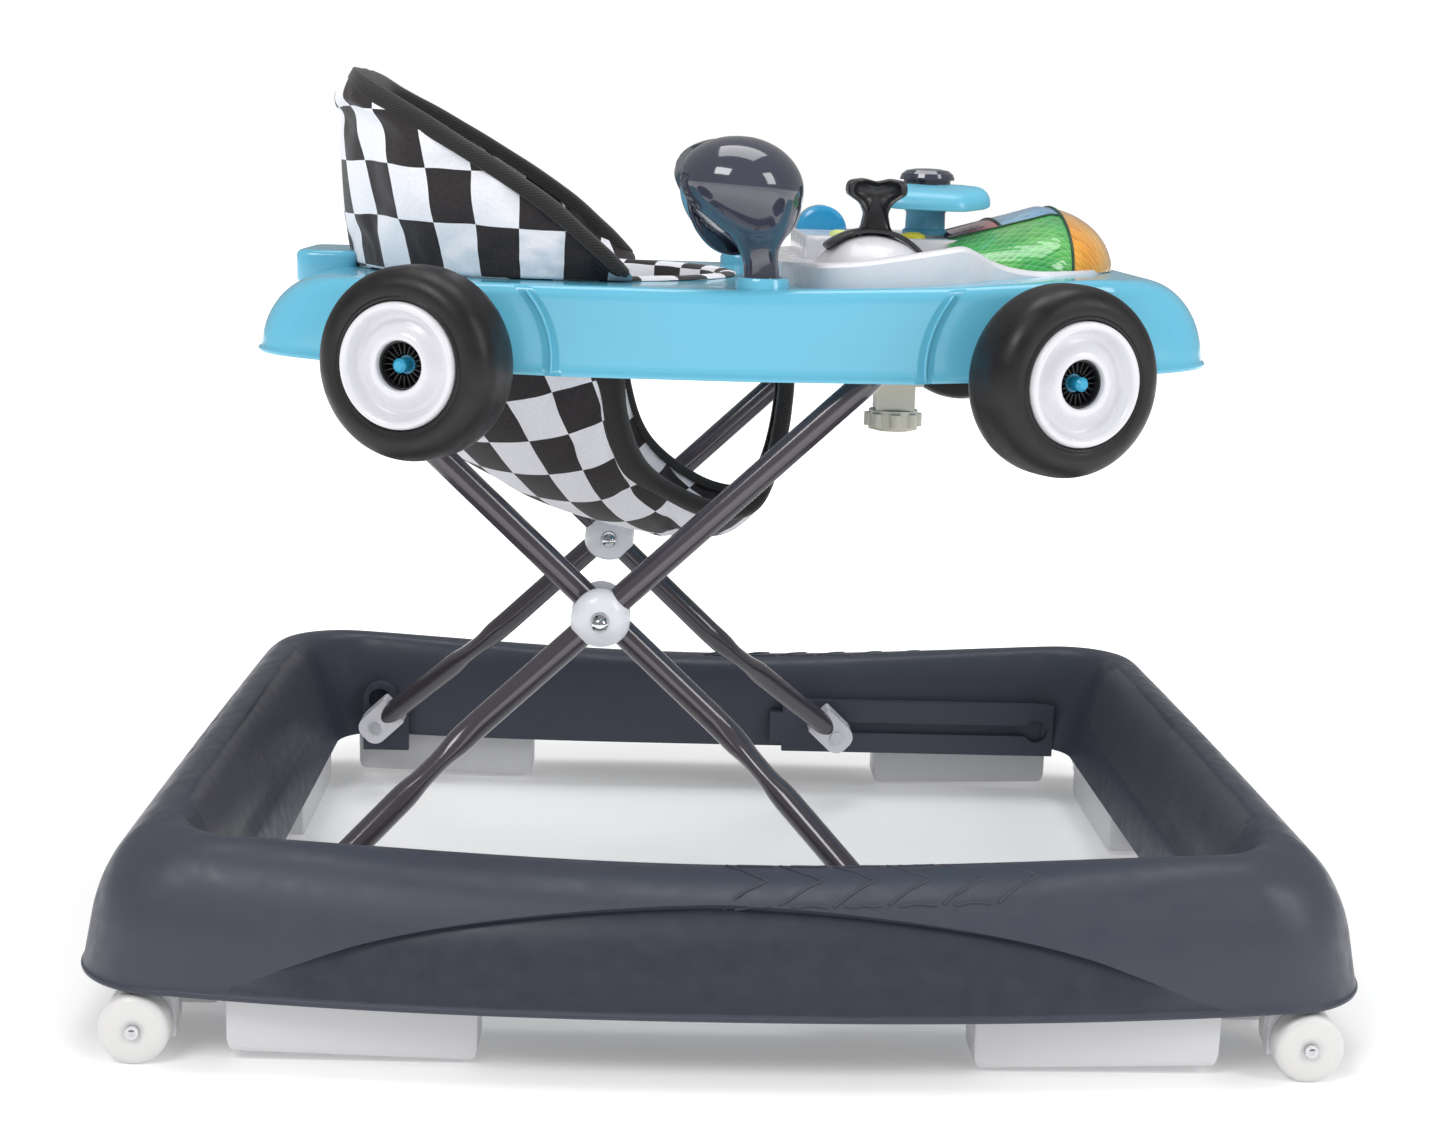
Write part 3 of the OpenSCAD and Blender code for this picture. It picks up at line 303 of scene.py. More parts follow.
def skin(rings, ring_closed=True, loop_closed=False, caps=False):
    """Points and quads through equal rings of points."""
    rings = np.asarray(rings, float)
    m, k = rings.shape[:2]
    faces = []
    for j in range(m if loop_closed else m - 1):
        a, b = j * k, (j + 1) % m * k
        for i in range(k if ring_closed else k - 1):
            n = (i + 1) % k
            faces.append((a + i, a + n, b + n, b + i))
    if caps:
        faces.append(tuple(range(k))[::-1])
        faces.append(tuple((m - 1) * k + i for i in range(k)))
    return rings.reshape(-1, 3), faces


def spline(points, steps=6, closed=False):
    """Smooth curve through points (Catmull-Rom), steps per span."""
    p = np.asarray(points, float)
    n = len(p)
    out = []
    for i in range(n if closed else n - 1):
        if closed:
            a, b, c, d = (p[(i + k) % n] for k in (-1, 0, 1, 2))
        else:
            a, b, c, d = p[max(i - 1, 0)], p[i], p[i + 1], p[min(i + 2, n - 1)]
        for t in np.arange(steps) / steps:
            out.append(0.5 * (2 * b + (c - a) * t + (2 * a - 5 * b + 4 * c - d) * t * t
                              + (3 * b - a - 3 * c + d) * t ** 3))
    if not closed:
        out.append(p[-1])
    return np.array(out)


def box_of(node):
    """Lowest and highest corner of a CAD node, in millimetres."""
    return [np.array(corner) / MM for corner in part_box(node)]


def unit(vectors):
    """Vectors of length 1."""
    return vectors / np.linalg.norm(vectors, axis=-1, keepdims=True)


def run_along(path):
    """Distance along a path to each of its points."""
    return np.r_[0, np.cumsum(np.linalg.norm(np.diff(path, axis=0), axis=1))]


def level(outline, z):
    """Points of an outline at one height."""
    return np.c_[outline, np.full(len(outline), z)]


def smoothstep(low, high, x):
    """0 below low, 1 above high and a smooth rise between."""
    t = np.clip((np.asarray(x, float) - low) / (high - low), 0, 1)
    return t * t * (3 - 2 * t)


def grid_normals(grid, closed=(True, True)):
    """Unit normals of a grid of points."""
    def slope(axis):
        if closed[axis]:
            return np.roll(grid, -1, axis) - np.roll(grid, 1, axis)
        return np.gradient(grid, axis=axis)
    n = np.cross(slope(1), slope(0))
    return n / np.maximum(np.linalg.norm(n, axis=2, keepdims=True), 1e-9)


def tube(path, radius, sides=24, normal=None, flat=None):
    """Rings of a round tube along a path; radius may change, and flat squeezes it along the normal."""
    path = np.asarray(path, float)
    m = len(path)
    radius = np.broadcast_to(radius, m)
    flat = np.broadcast_to(1.0 if flat is None else flat, m)
    along = unit(np.gradient(path, axis=0))
    up = np.array(normal if normal is not None else (0.3, 0.2, 0.93), float)
    rings = []
    angles = np.arange(sides) * 2 * math.pi / sides
    for i in range(m):
        side = unit(np.cross(up, along[i]))
        top = np.cross(along[i], side)
        if normal is None:
            up = top
        ring = path[i] + radius[i] * (np.outer(np.cos(angles), side) / flat[i] ** 0.5
                                      + np.outer(np.sin(angles), top) * flat[i])
        rings.append(ring)
    return np.array(rings)


def revolved(profile, steps=64, matrix=None):
    """Rings of a turned shape: profile is [radius, height] pairs, turned about +Z."""
    profile = np.asarray(profile, float)
    angles = np.arange(steps) * 2 * math.pi / steps
    rings = np.stack([np.c_[profile[:, 0] * c, profile[:, 0] * s, profile[:, 1]]
                      for c, s in zip(np.cos(angles), np.sin(angles))], axis=1)
    return placed(rings, matrix)


def placed(points, matrix):
    """Points moved by a matrix, or left where they are when it is None."""
    if matrix is None:
        return points
    m = np.array(matrix)
    return points @ m[:3, :3].T + m[:3, 3]


def joined(*parts):
    """Several (points, faces) as one."""
    points, faces, start = [], [], 0
    for p, f in parts:
        points.append(np.asarray(p, float).reshape(-1, 3))
        faces += [tuple(i + start for i in face) for face in f]
        start += len(points[-1])
    return np.concatenate(points), faces


def turn(x=0.0, y=0.0, z=0.0):
    """Rotation by angles in degrees, about X first and Z last."""
    return (Matrix.Rotation(math.radians(z), 4, "Z") @ Matrix.Rotation(math.radians(y), 4, "Y")
            @ Matrix.Rotation(math.radians(x), 4, "X"))


def at(x, y, z):
    """A move by millimetres."""
    return Matrix.Translation((x, y, z))


def bend(start, corner, end, t):
    """Point at a share t of a curve that rounds a corner off."""
    return (1 - t) ** 2 * start + 2 * t * (1 - t) * corner + t * t * end


def rounded_polygon(corners, steps=6):
    """Outline points of a polygon whose corners are [x, y, radius]."""
    out = []
    n = len(corners)
    for i, (x, y, r) in enumerate(corners):
        p = np.array((x, y), float)
        a = np.array(corners[i - 1][:2], float) - p
        b = np.array(corners[(i + 1) % n][:2], float) - p
        la, lb = np.linalg.norm(a), np.linalg.norm(b)
        u, v = a / la, b / lb
        half = math.acos(max(-1.0, min(1.0, float(u @ v)))) / 2
        cut = min(r / math.tan(half), 0.49 * la, 0.49 * lb)
        for t in np.linspace(0, 1, steps + 1):
            out.append(bend(p + u * cut, p, p + v * cut, t))
    return np.array(out)


def slab(outline, z0, z1, edge=1.5, steps=4, bulge=0.0):
    """Rings of a plate with rounded edges: an outline between two heights."""
    outline = np.asarray(outline, float)
    centre = outline.mean(0)
    d = outline - np.roll(outline, 1, 0)
    e = np.roll(outline, -1, 0) - outline
    n = np.c_[(d + e)[:, 1], -(d + e)[:, 0]]
    n /= np.maximum(np.linalg.norm(n, axis=1, keepdims=True), 1e-9)
    if ((outline - centre) * n).sum() < 0:
        n = -n
    rings = []
    angles = np.linspace(0, math.pi / 2, steps + 1)
    for z, sign, quarter in ((z0, 1, angles), (z1, -1, angles[::-1])):
        for a in quarter:
            inset = outline - n * edge * (1 - math.sin(a))
            rings.append(level(inset, z + sign * edge * (1 - math.cos(a))))
    top = [level(centre + (outline - centre) * s, z1 + bulge * (1 - s * s)) for s in (0.75, 0.5, 0.25, 0.02)]
    under = [level(centre + (outline - centre) * 0.02, z0),
             level(centre + (rings[0][:, :2] - centre) * 0.5, z0)]
    return skin(np.array(under + rings + top), caps=True)


# ---------------------------------------------------------------- base ring

LOW, HIGH = box_of("base_shell")
RING_L, RING_W = HIGH[0], HIGH[1]          # half length and half width over the lip
LIP_Z = LOW[2]
OPEN_L, OPEN_W = 284.0, 240.0
LIP_R, OPEN_R, BOW = 60.0, 30.0, 15.0
SIDE_CREST, END_CREST = 105.0, HIGH[2]
RING_WALL = 3.0
LIP_LIFT = 3.6                            # the lip rises a little over the castors
CREASE = 44                               # grid row that follows the arch's edge
BEYOND = 80                               # grid rows from there to the inner edge
TOP_ROW = 60                              # grid row near the crest

# Section of the ring from lip (0) to inner edge (1): share of width, share of height.
SIDE_SECTION = [(0.004, 0), (0.0, 0.014), (0.005, 0.03), (0.018, 0.042), (0.034, 0.09), (0.07, 0.25),
                (0.13, 0.48), (0.21, 0.67), (0.33, 0.84), (0.48, 0.945), (0.64, 0.995), (0.79, 1.0),
                (0.9, 0.965), (0.965, 0.88), (0.992, 0.72), (1, 0.35), (1, 0)]
END_SECTION = [(0.004, 0), (0.0, 0.012), (0.004, 0.026), (0.014, 0.038), (0.024, 0.08), (0.05, 0.23),
               (0.09, 0.45), (0.15, 0.63), (0.25, 0.81), (0.38, 0.94), (0.5, 0.995), (0.6, 0.998),
               (0.68, 0.94), (0.77, 0.75), (0.86, 0.5), (0.94, 0.24), (1, 0)]


def ring_outline(half_l, half_w, r, bow, corner=20, side=96, end=64):
    """Rounded rectangle whose long sides bow outward, with evenly matched points for any size."""
    out = []
    for q in range(4):
        sx = 1 if q in (0, 3) else -1
        sy = 1 if q < 2 else -1
        centre = np.array((sx * (half_l - r), sy * (half_w - r)))
        for i in range(corner + 1):
            a = math.radians(q * 90 + 90 * i / corner)
            out.append(centre + r * np.array((math.cos(a), math.sin(a))))
        if q % 2 == 0:
            for i in range(1, side):
                x = sx * (half_l - r) * (1 - 2 * i / side)
                out.append((x, sy * (half_w + bow * (1 - (x / (half_l - r)) ** 2))))
        else:
            for i in range(1, end):
                out.append((sx * half_l, sy * (half_w - r) * (1 - 2 * i / end)))
    return np.array(out)


def arch_share(x):
    """How far up the side's section the recessed arch reaches."""
    return 0.335 * np.clip(1 - (np.abs(x + 4) / 296) ** 1.45, 0, 1)


def ring_grid():
    """Outer surface of the ring as a grid: stations round the ring by points across it."""
    lip = ring_outline(RING_L, RING_W - BOW, LIP_R, BOW)
    edge = ring_outline(OPEN_L, OPEN_W, OPEN_R, 0)
    d = lip - edge
    endness = smoothstep(0, 1, 1 - np.degrees(np.abs(np.arctan2(d[:, 1], np.abs(d[:, 0])))) / 90)
    rise = 1 + 0.15 * np.minimum(1, np.abs(lip[:, 0]) / 300) ** 2
    side, end = spline(SIDE_SECTION, 6), spline(END_SECTION, 6)
    smooth = side[None] * (1 - endness[:, None, None]) + end[None] * endness[:, None, None]
    reach = arch_share(lip[:, 0]) * (1 - endness)
    rows = np.arange(len(side))
    sec = np.empty((len(lip), CREASE + BEYOND, 2))
    for i, line in enumerate(smooth):
        crease = np.interp(max(reach[i], 0.02), np.maximum.accumulate(line[:, 0]), rows)
        below = crease * (1 - (1 - np.arange(CREASE) / CREASE) ** 1.8)
        t = np.r_[below, np.linspace(crease, rows[-1], BEYOND)]
        sec[i] = np.c_[np.interp(t, rows, line[:, 0]), np.interp(t, rows, line[:, 1])]
    lift = LIP_LIFT * np.minimum(1, np.abs(lip[:, 0]) / (RING_L - LIP_R)) ** 3
    high = (SIDE_CREST - LIP_Z) * rise * (1 - endness) + (END_CREST - LIP_Z) * endness - lift
    grid = np.empty((len(lip), sec.shape[1], 3))
    grid[:, :, :2] = lip[:, None] + (edge - lip)[:, None] * sec[:, :, :1]
    grid[:, :, 2] = LIP_Z + lift[:, None] + high[:, None] * sec[:, :, 1]
    return grid, sec[:, :, 0], reach, endness


def base_ring():
    grid, share, reach, endness = ring_grid()
    n = grid_normals(grid, (True, False))
    if n[:, TOP_ROW, 2].mean() < 0:
        n = -n
    y = grid[..., 1]
    # the arch sunk into the outside of the long sides, low down
    rows = np.arange(grid.shape[1])
    below = smoothstep(0, 1.6, CREASE - rows)[None] * smoothstep(0.02, 0.07, share)
    span = np.clip((share - 0.03) / np.maximum(reach[:, None] - 0.03, 0.01), 0, 1)
    depth = 5.0 * below * (0.25 + 0.75 * span ** 1.3) * smoothstep(0.05, 0.11, reach)[:, None]
    # dished panels on the inner slopes of the ends
    across = np.clip(np.minimum(share - 0.60, 0.93 - share) / 0.05, -1, 1)
    along = np.clip((204 - np.abs(y)) / 14, -1, 1)
    dish = smoothstep(0, 1, across) * smoothstep(0, 1, along) * smoothstep(0.8, 1, endness)[:, None]
    ripple = np.array([[noise.noise(Vector((a / 70, b / 46, c / 60))) for a, b, c in row]
                       for row in grid[:, TOP_ROW:]])
    depth += 2.2 * dish
    depth[:, TOP_ROW:] += 1.1 * dish[:, TOP_ROW:] * ripple
    # slots across the shoulder of the ends' outer faces
    comb = smoothstep(0.55, 0.8, np.cos(np.abs(y) * 2 * math.pi / 36))
    comb = comb * smoothstep(0.2, 0.24, share) * (1 - smoothstep(0.34, 0.4, share))
    depth += 2.0 * comb * smoothstep(0.95, 1, endness)[:, None] * (np.abs(y) < 170)
    outer = grid - n * depth[..., None]
    inner = outer - n * RING_WALL
    inner[..., 2] = np.maximum(inner[..., 2], grid[:, :1, 2])
    toward = unit(grid[:, -1] - grid[:, 0])
    inner[:, 0] = grid[:, 0] + toward * RING_WALL
    inner[:, -1] = grid[:, -1] - toward * RING_WALL
    rings = np.concatenate([outer, inner[:, ::-1]], axis=1)
    verts, faces = skin(rings, loop_closed=True)
    ring = piece("base_ring", verts, faces, "slate", "base", "slate_plastic", smooth=50,
                 replaces=("base_shell",))
    # the sunken arch below its crease gets the darker slate, which is painted shade
    ring.data.materials.append(MATERIALS["slate_painted_shade"])
    # the dished end panels get the lighter slate, which is painted reflection
    ring.data.materials.append(MATERIALS["slate_panel_painted_sheen"])
    # material per face: 1 paints shade into the sunken arch, 2 paints a reflection on the dished end panels
    painted_tone_faces = np.zeros((len(grid), rings.shape[1]), int)
    painted_tone_faces[:, :CREASE - 1] = (reach > 0.03)[:, None] & (share[:, :CREASE - 1] > 0.022)
    painted_tone_faces[:, :grid.shape[1]][dish > 0.4] = 2
    ring.data.polygons.foreach_set("material_index", painted_tone_faces.ravel())
    return outer, share


def ring_chevrons(outer, share):
    """Fine raised arrow outlines along the top of both long sides, all pointing forward."""
    parts = []

    def on_surface(x, s, sign):
        """Point on the side's top at a length and a share across it."""
        rows = np.where((np.sign(outer[:, 0, 1]) == sign) & (np.abs(outer[:, 0, 0]) < 290))[0]
        i = rows[np.argmin(np.abs(outer[rows, CREASE, 0] - x))]
        k = int(np.argmin(np.abs(share[i] - s)))
        p = outer[i, k].copy()
        p[0] = x
        return p

    def ridge(a, b, sign, width=1.4, proud=0.95):
        """Raised line between two (x, share) places."""
        pts = [on_surface(a[0] + (b[0] - a[0]) * t, a[1] + (b[1] - a[1]) * t, sign)
               for t in np.linspace(0, 1, 9)]
        path = spline(pts[::2], 4)
        path[:, 2] += proud - width * 0.5
        parts.append(skin(tube(path, width * 0.62, 8, normal=(0, 0, 1)), caps=True))

    for sign in (-1, 1):
        for i in range(6):
            x = 2 + i * 30
            ridge((x - 4, 0.78), (x + 18, 0.54), sign)
            ridge((x + 18, 0.54), (x - 6, 0.33), sign)
            if i < 5:
                ridge((x, 0.33), (x + 20, 0.33), sign)
                ridge((x + 2, 0.78), (x + 22, 0.78), sign)
    verts, faces = joined(*parts)
    piece("ring_chevrons", verts, faces, "slate", "base", "slate_plastic", smooth=60)


# ---------------------------------------------------------------- fabric seat

SEAT_LOW, SEAT_HIGH = box_of("seat_ring")
SEAT_X = (SEAT_LOW[0] + SEAT_HIGH[0]) / 2
DECK_Z = SEAT_HIGH[2] - 2


def cloth(obj, pinned, frames=20, pressure=0.0, gravity=0.0, swell=0.0, cap=8.0, stiff=18.0):
    """Lets an object's mesh settle as cloth between its pinned points, and keeps the settled shape."""
    scene = bpy.context.scene
    group = obj.vertex_groups.new(name="held")
    for index, weight in enumerate(pinned):
        if weight > 0:
            group.add([index], float(min(1, weight)), "REPLACE")
    modifier = obj.modifiers.new("settle", "CLOTH")
    settings = modifier.settings
    settings.quality = 6
    settings.mass = 0.25
    settings.tension_stiffness = settings.compression_stiffness = stiff
    settings.shear_stiffness = stiff * 0.5
    settings.bending_stiffness = 0.6
    settings.vertex_group_mass = "held"
    settings.use_pressure = pressure > 0
    settings.uniform_pressure_force = pressure
    settings.shrink_min = -swell
    settings.effector_weights.gravity = gravity
    modifier.collision_settings.use_collision = False
    modifier.collision_settings.use_self_collision = False
    modifier.point_cache.frame_start = 1
    modifier.point_cache.frame_end = frames + 1
    for frame_number in range(1, frames + 1):
        scene.frame_set(frame_number)
    graph = bpy.context.evaluated_depsgraph_get()
    settled = obj.evaluated_get(graph).to_mesh()
    count = len(obj.data.vertices)
    before, after = np.empty(count * 3), np.empty(count * 3)
    obj.data.vertices.foreach_get("co", before)
    settled.vertices.foreach_get("co", after)
    move = (after - before).reshape(-1, 3)
    far = np.linalg.norm(move, axis=1, keepdims=True)
    limit = cap * MM
    move *= np.where(far > 1e-9, limit * np.tanh(far / limit) / np.maximum(far, 1e-9), 0)
    obj.evaluated_get(graph).to_mesh_clear()
    obj.modifiers.remove(modifier)
    obj.vertex_groups.remove(obj.vertex_groups["held"])
    scene.frame_set(1)
    obj.data.vertices.foreach_set("co", before + move.ravel())
    obj.data.update()


def smoothed(obj, levels=1):
    """Applies one subdivision."""
    modifier = obj.modifiers.new("smooth", "SUBSURF")
    modifier.levels = modifier.render_levels = levels
    modifier.uv_smooth = "PRESERVE_BOUNDARIES"
    graph = bpy.context.evaluated_depsgraph_get()
    mesh = bpy.data.meshes.new_from_object(obj.evaluated_get(graph))
    obj.modifiers.remove(modifier)
    old = obj.data
    obj.data = mesh
    bpy.data.meshes.remove(old)
    obj.data.shade_smooth()
    return obj


# Top edge of the backrest on the left side: wrap angle from the rear, x, y, z.
BACK_EDGE = [(0, -242, 0, 535), (22, -241, 48, 535), (42, -233, 92, 532), (57, -205, 113, 519),
             (72, -166, 121, 499), (90, -118, 130, 470), (104, -86, 132, 445), (117, -64, 128, 424)]
BACK_TURN = 117.0
BACK_PHASE = (0.45, 0.06)
RIM_R = 122.6                 # the backrest stands on the seat ring at this radius


def back_edge(angle):
    """Point of the backrest's top edge at a wrap angle, either side."""
    rows = np.array([(-a, x, -y, z) for a, x, y, z in BACK_EDGE[:0:-1]] + BACK_EDGE, float)
    curve = spline(rows, 8)
    return np.array([np.interp(angle, curve[:, 0], curve[:, k]) for k in (1, 2, 3)])


def back_frame(angle):
    """Foot point on the seat ring, top point and outward direction at a wrap angle."""
    a = math.radians(angle)
    out = np.array((-math.cos(a), math.sin(a), 0))
    foot = np.array((SEAT_X, 0, DECK_Z + 0.6)) + RIM_R * out
    return foot, back_edge(angle), out


def rear_share(angle):
    """1 at the rear of the backrest, fading to 0 toward its sides."""
    return math.exp(-(angle / 52.0) ** 4)


def back_surface(angle, h, depth):
    """Point of the backrest: h runs from the seat ring to the top edge, depth inward from the outside."""
    foot, top, out = back_frame(angle)
    rear = rear_share(angle)
    p = foot + (top - foot) * h
    p[:2] = foot[:2] + (top - foot)[:2] * h ** 1.25
    swell = 2.5 * math.sin(math.pi * h)
    roll = (6.0 * math.exp(-((h - 0.885) / 0.075) ** 2) - 4.0 * smoothstep(0.93, 1.0, h)) * rear
    return p + out * (swell + roll - depth)


def seat_backrest():
    steps_a, steps_h = 110, 26
    angles = np.linspace(-BACK_TURN, BACK_TURN, steps_a)
    up = np.linspace(0, 1, steps_h)
    rings, uv, pins = [], [], []
    run = 0.0
    last = None
    for angle in angles:
        middle = back_surface(angle, 0.5, 0)
        if last is not None:
            run += float(np.linalg.norm((middle - last)[:2]))
        last = middle
        foot, top = back_frame(angle)[:2]
        tall = float(top[2] - foot[2])
        thick = 7.5 * min(1.0, tall / 40)
        ring, flat, pin = [], [], []
        for h in up:
            ring.append(back_surface(angle, h, 0))
            flat.append((run, tall * h + 0.035 * (ring[-1][0] - SEAT_X)))
            pin.append(h)
        for h in up[::-1]:
            full = 0.45 + 0.55 * math.sin(math.pi * min(1, h + 0.1)) ** 0.5
            ring.append(back_surface(angle, h, thick * full))
            flat.append((run, 2 * tall - tall * h))
            pin.append(h)
        rings.append(ring)
        uv += flat
        pins += [max(1 - smoothstep(0.0, 0.1, h), smoothstep(0.92, 0.99, h), 0.0) for h in pin]
    edge = np.array([smoothstep(112, 117, abs(a)) for a in angles])
    pins = np.maximum(np.array(pins).reshape(len(angles), -1), edge[:, None]).ravel()
    verts, faces = skin(np.array(rings), caps=True)
    material = check_cloth("seat_back_check", BACK_PHASE)
    obj = piece("seat_back_pad", verts, faces, material, "tray", "seat_fabric", uv=uv,
                replaces=("seat_back",))
    cloth(obj, pins, pressure=1.2, swell=0.035, cap=5.0)
    smoothed(obj)
    return obj


def seat_binding():
    """Black tape folded over the top edge of the backrest and down its front ends."""
    angles = np.linspace(-BACK_TURN, BACK_TURN, 140)
    rings, uv = [], []
    run = 0.0
    last = None
    for i, angle in enumerate(angles):
        foot, top, out = back_frame(angle)
        tall = top[2] - foot[2]
        near, far = back_frame(angle - 1)[1], back_frame(angle + 1)[1]
        along = (far - near) / np.linalg.norm(far - near)
        rear = rear_share(angle)
        crown = top - out * (4.0 * rear + 2.5)
        down = np.cross(out, along)
        down = down if down[2] < 0 else -down
        down = down / np.linalg.norm(down)
        ripple = 1.2 * noise.noise(Vector((i * 0.16, 0.4, 0.0)))
        reach = min(8.5, 0.5 * tall + 2)
        rise = 3.6 * rear + 1.6 + 0.8 * ripple
        outer = 5.6 - 3.2 * rear
        shape = [(outer, reach), (outer + 1.0, reach * 0.5), (outer + 0.2, 1.0), (outer - 3, -rise * 0.8),
                 (0.0, -rise), (-3.5, -rise * 0.7), (-5.6, 1.0), (-5.8, reach * 0.5), (-5.2, reach),
                 (-4.0, reach), (-3.2, 2.0), (0.0, 0.6), (outer - 2.4, 2.0), (outer - 1.4, reach)]
        rings.append([crown + out * a + down * b for a, b in shape])
        if last is not None:
            run += float(np.linalg.norm(crown - last))
        last = crown
        uv += [(run, a) for a in run_along(shape)]
    verts, faces = skin(np.array(rings), caps=True)
    obj = piece("seat_back_binding", verts, faces, "tape", "tray", "seat_fabric", uv=uv, smooth=70)
    smoothed(obj)
    return obj


# The hanging seat, from the rear of the seat ring round under the child to the front strap:
# middle x, z; left edge x, y, z; bulge.
SLING = [(-229, 404, -228, 14, 404, 0), (-226, 372, -213, 62, 404, 4), (-212, 338, -181, 96, 404, 12),
         (-186, 309, -140, 112, 403, 20), (-156, 289, -94, 113, 399, 22), (-128, 274, -73, 109, 374, 17),
         (-98, 263, -67, 98, 336, 12), (-68, 255, -56, 82, 306, 8), (-38, 249, -36, 63, 286, 5),
         (-8, 249, -8, 46, 272, 3), (14, 262, 17, 33, 272, 1), (29, 290, 30, 25, 294, 0),
         (37, 326, 37, 21, 328, 0), (38, 362, 38, 22, 362, 0), (30, 400, 30, 24, 400, 0)]
SLING_T = 5.0
SLING_MIDDLE = np.array((SEAT_X + 40, 0, 400))   # a point inside the hanging seat
TAPE_START = 22                                  # grid row where its edge tapes begin


def sling_grid(per_span=7, across=44):
    """Outside of the hanging seat as a grid: stations along it by points across it."""
    rows = spline(SLING, per_span)
    grid = np.empty((len(rows), across + 1, 3))
    for i, (mx, mz, ex, ey, ez, bulge) in enumerate(rows):
        for k, u in enumerate(np.linspace(-1, 1, across + 1)):
            t = abs(u)
            swell = bulge * math.sin(math.pi * t)
            x = mx + (ex - mx) * t - swell * 0.35
            y = (ey * t + swell * 0.6) * (1 if u > 0 else -1)
            z = mz + (ez - mz) * t ** 1.15 - swell * 0.55
            grid[i, k] = (x, y, z)
    return grid


def seat_hammock():
    grid = sling_grid()
    n = grid_normals(grid, (False, False))
    flip = np.sign(((SLING_MIDDLE - grid) * n).sum(2, keepdims=True))
    n = n * np.where(flip == 0, 1, flip)
    inner = grid + n * SLING_T
    rings = np.concatenate([grid, inner[:, ::-1]], axis=1)
    half = grid.shape[1] // 2
    along = run_along(grid[:, half])
    flat = []
    for i, row in enumerate(grid):
        d = run_along(row)
        d -= d[half]
        flat += [(a, along[i]) for a in d]
        flat += [(a, along[i]) for a in d[::-1]]
    verts, faces = skin(rings, caps=True)
    material = check_cloth("seat_sling_check", (0.2, 0.35), math.radians(45))
    obj = piece("seat_hammock", verts, faces, material, "tray", "seat_fabric", uv=flat,
                replaces=("seat_sling",))
    m = len(grid)
    width = grid.shape[1]
    u = np.abs(np.linspace(-1, 1, width))
    edge = smoothstep(0.93, 1.0, u)
    row_pin = np.zeros(m)
    row_pin[:3] = 1
    row_pin[-12:] = np.linspace(0.2, 1, 12)
    pin = np.maximum(edge[None], row_pin[:, None])
    pins = np.concatenate([pin, pin[:, ::-1]], axis=1).ravel()
    cloth(obj, pins, frames=22, pressure=0.6, gravity=0.6, swell=0.05, cap=9.0)
    smoothed(obj)
    return obj


def sling_tapes():
    """Black tape along both edges of the hanging seat, wide where it forms the leg openings."""
    grid = sling_grid(per_span=10)
    n = grid_normals(grid, (False, False))
    parts, uv = [], []
    for side in (0, -1):
        path = grid[TAPE_START:, side]
        face = n[TAPE_START:, side]
        face = face * np.sign(((path - SLING_MIDDLE) * face).sum(1, keepdims=True))
        inward = unit(grid[TAPE_START:, 1 if side == 0 else -2] - path)
        z = path[:, 2]
        wide = 9 + 13 * smoothstep(285, 320, z) * (path[:, 0] < -40)
        rings = []
        run = run_along(path)
        for i, (p, f, w) in enumerate(zip(path, face, inward)):
            ripple = 0.8 * noise.noise(Vector((i * 0.19, side, 0.0)))
            low, high = -3.2, SLING_T + 1.6
            shape = [(wide[i], low), (wide[i] * 0.5, low - 0.8 + ripple), (0.5, low - 0.4), (-2.6, low + 1.6),
                     (-3.0, 2.5), (-2.4, high - 1.2), (0.5, high), (5.0, high + 0.4), (8.0, high),
                     (8.0, high - 1.2),
                     (0.5, high - 1.4), (-1.0, 2.5), (0.5, low + 1.0), (wide[i], low + 1.0)]
            rings.append([p + w * a - f * b for a, b in shape])
            uv += [(run[i], k * 3.0) for k in range(len(shape))]
        parts.append(skin(np.array(rings), caps=True))
    verts, faces = joined(*parts)
    obj = piece("seat_hammock_tapes", verts, faces, "tape", "tray", "seat_fabric", uv=uv, smooth=70)
    smoothed(obj)


# ---------------------------------------------------------------- tray

TRAY_L, TRAY_W, TRAY_LIP, TRAY_WALL = 285.0, 162.0, 366.0, 2.6
DECK, DECK_RISE, RAMP = 418.0, 11.0, (60.0, 200.0)
WHEEL = (190.0, 220.0, 375.0)
ARCH_X, ARCH_R, SPLAY = 166.0, 59.0, math.radians(22)
HOLE_R = 118.0
MIRROR_X, MIRROR_Y = 13.0, 143.0
PEG_COLLAR = [(13.2, 414), (14.6, 415), (14.8, 421), (14.2, 423.2), (12.2, 423.8), (12, 414)]


def deck_at(x):
    """Height of the tray's deck, which rises toward the front."""
    return DECK + DECK_RISE * np.clip((np.asarray(x, float) - RAMP[0]) / (RAMP[1] - RAMP[0]), 0, 1)


def lip_at(x):
    """Height of the tray's lower edge, which rises toward both ends."""
    x = np.asarray(x, float)
    return TRAY_LIP + 11 * (np.maximum(0, x - 70) / 215) ** 1.3 + 5 * (np.maximum(0, -130 - x) / 155) ** 1.3


def arch_edge(v, d=0.0):
    """Distance from the middle of the tray to a wheel arch's edge at a share v of the tray's height."""
    dz = TRAY_LIP + v * (DECK - TRAY_LIP) - WHEEL[2]
    return ARCH_X - math.sqrt(max(0, ARCH_R ** 2 - dz * dz)) + d


def tray_side(v, d):
    """Half width of the tray's sides at a share v of its height, and how far the top edge curls in."""
    curl = 7 * (1 - math.sqrt(max(0, 1 - ((v - 0.86) / 0.14) ** 2))) if v > 0.86 else 0.0
    return TRAY_W - d - curl, curl


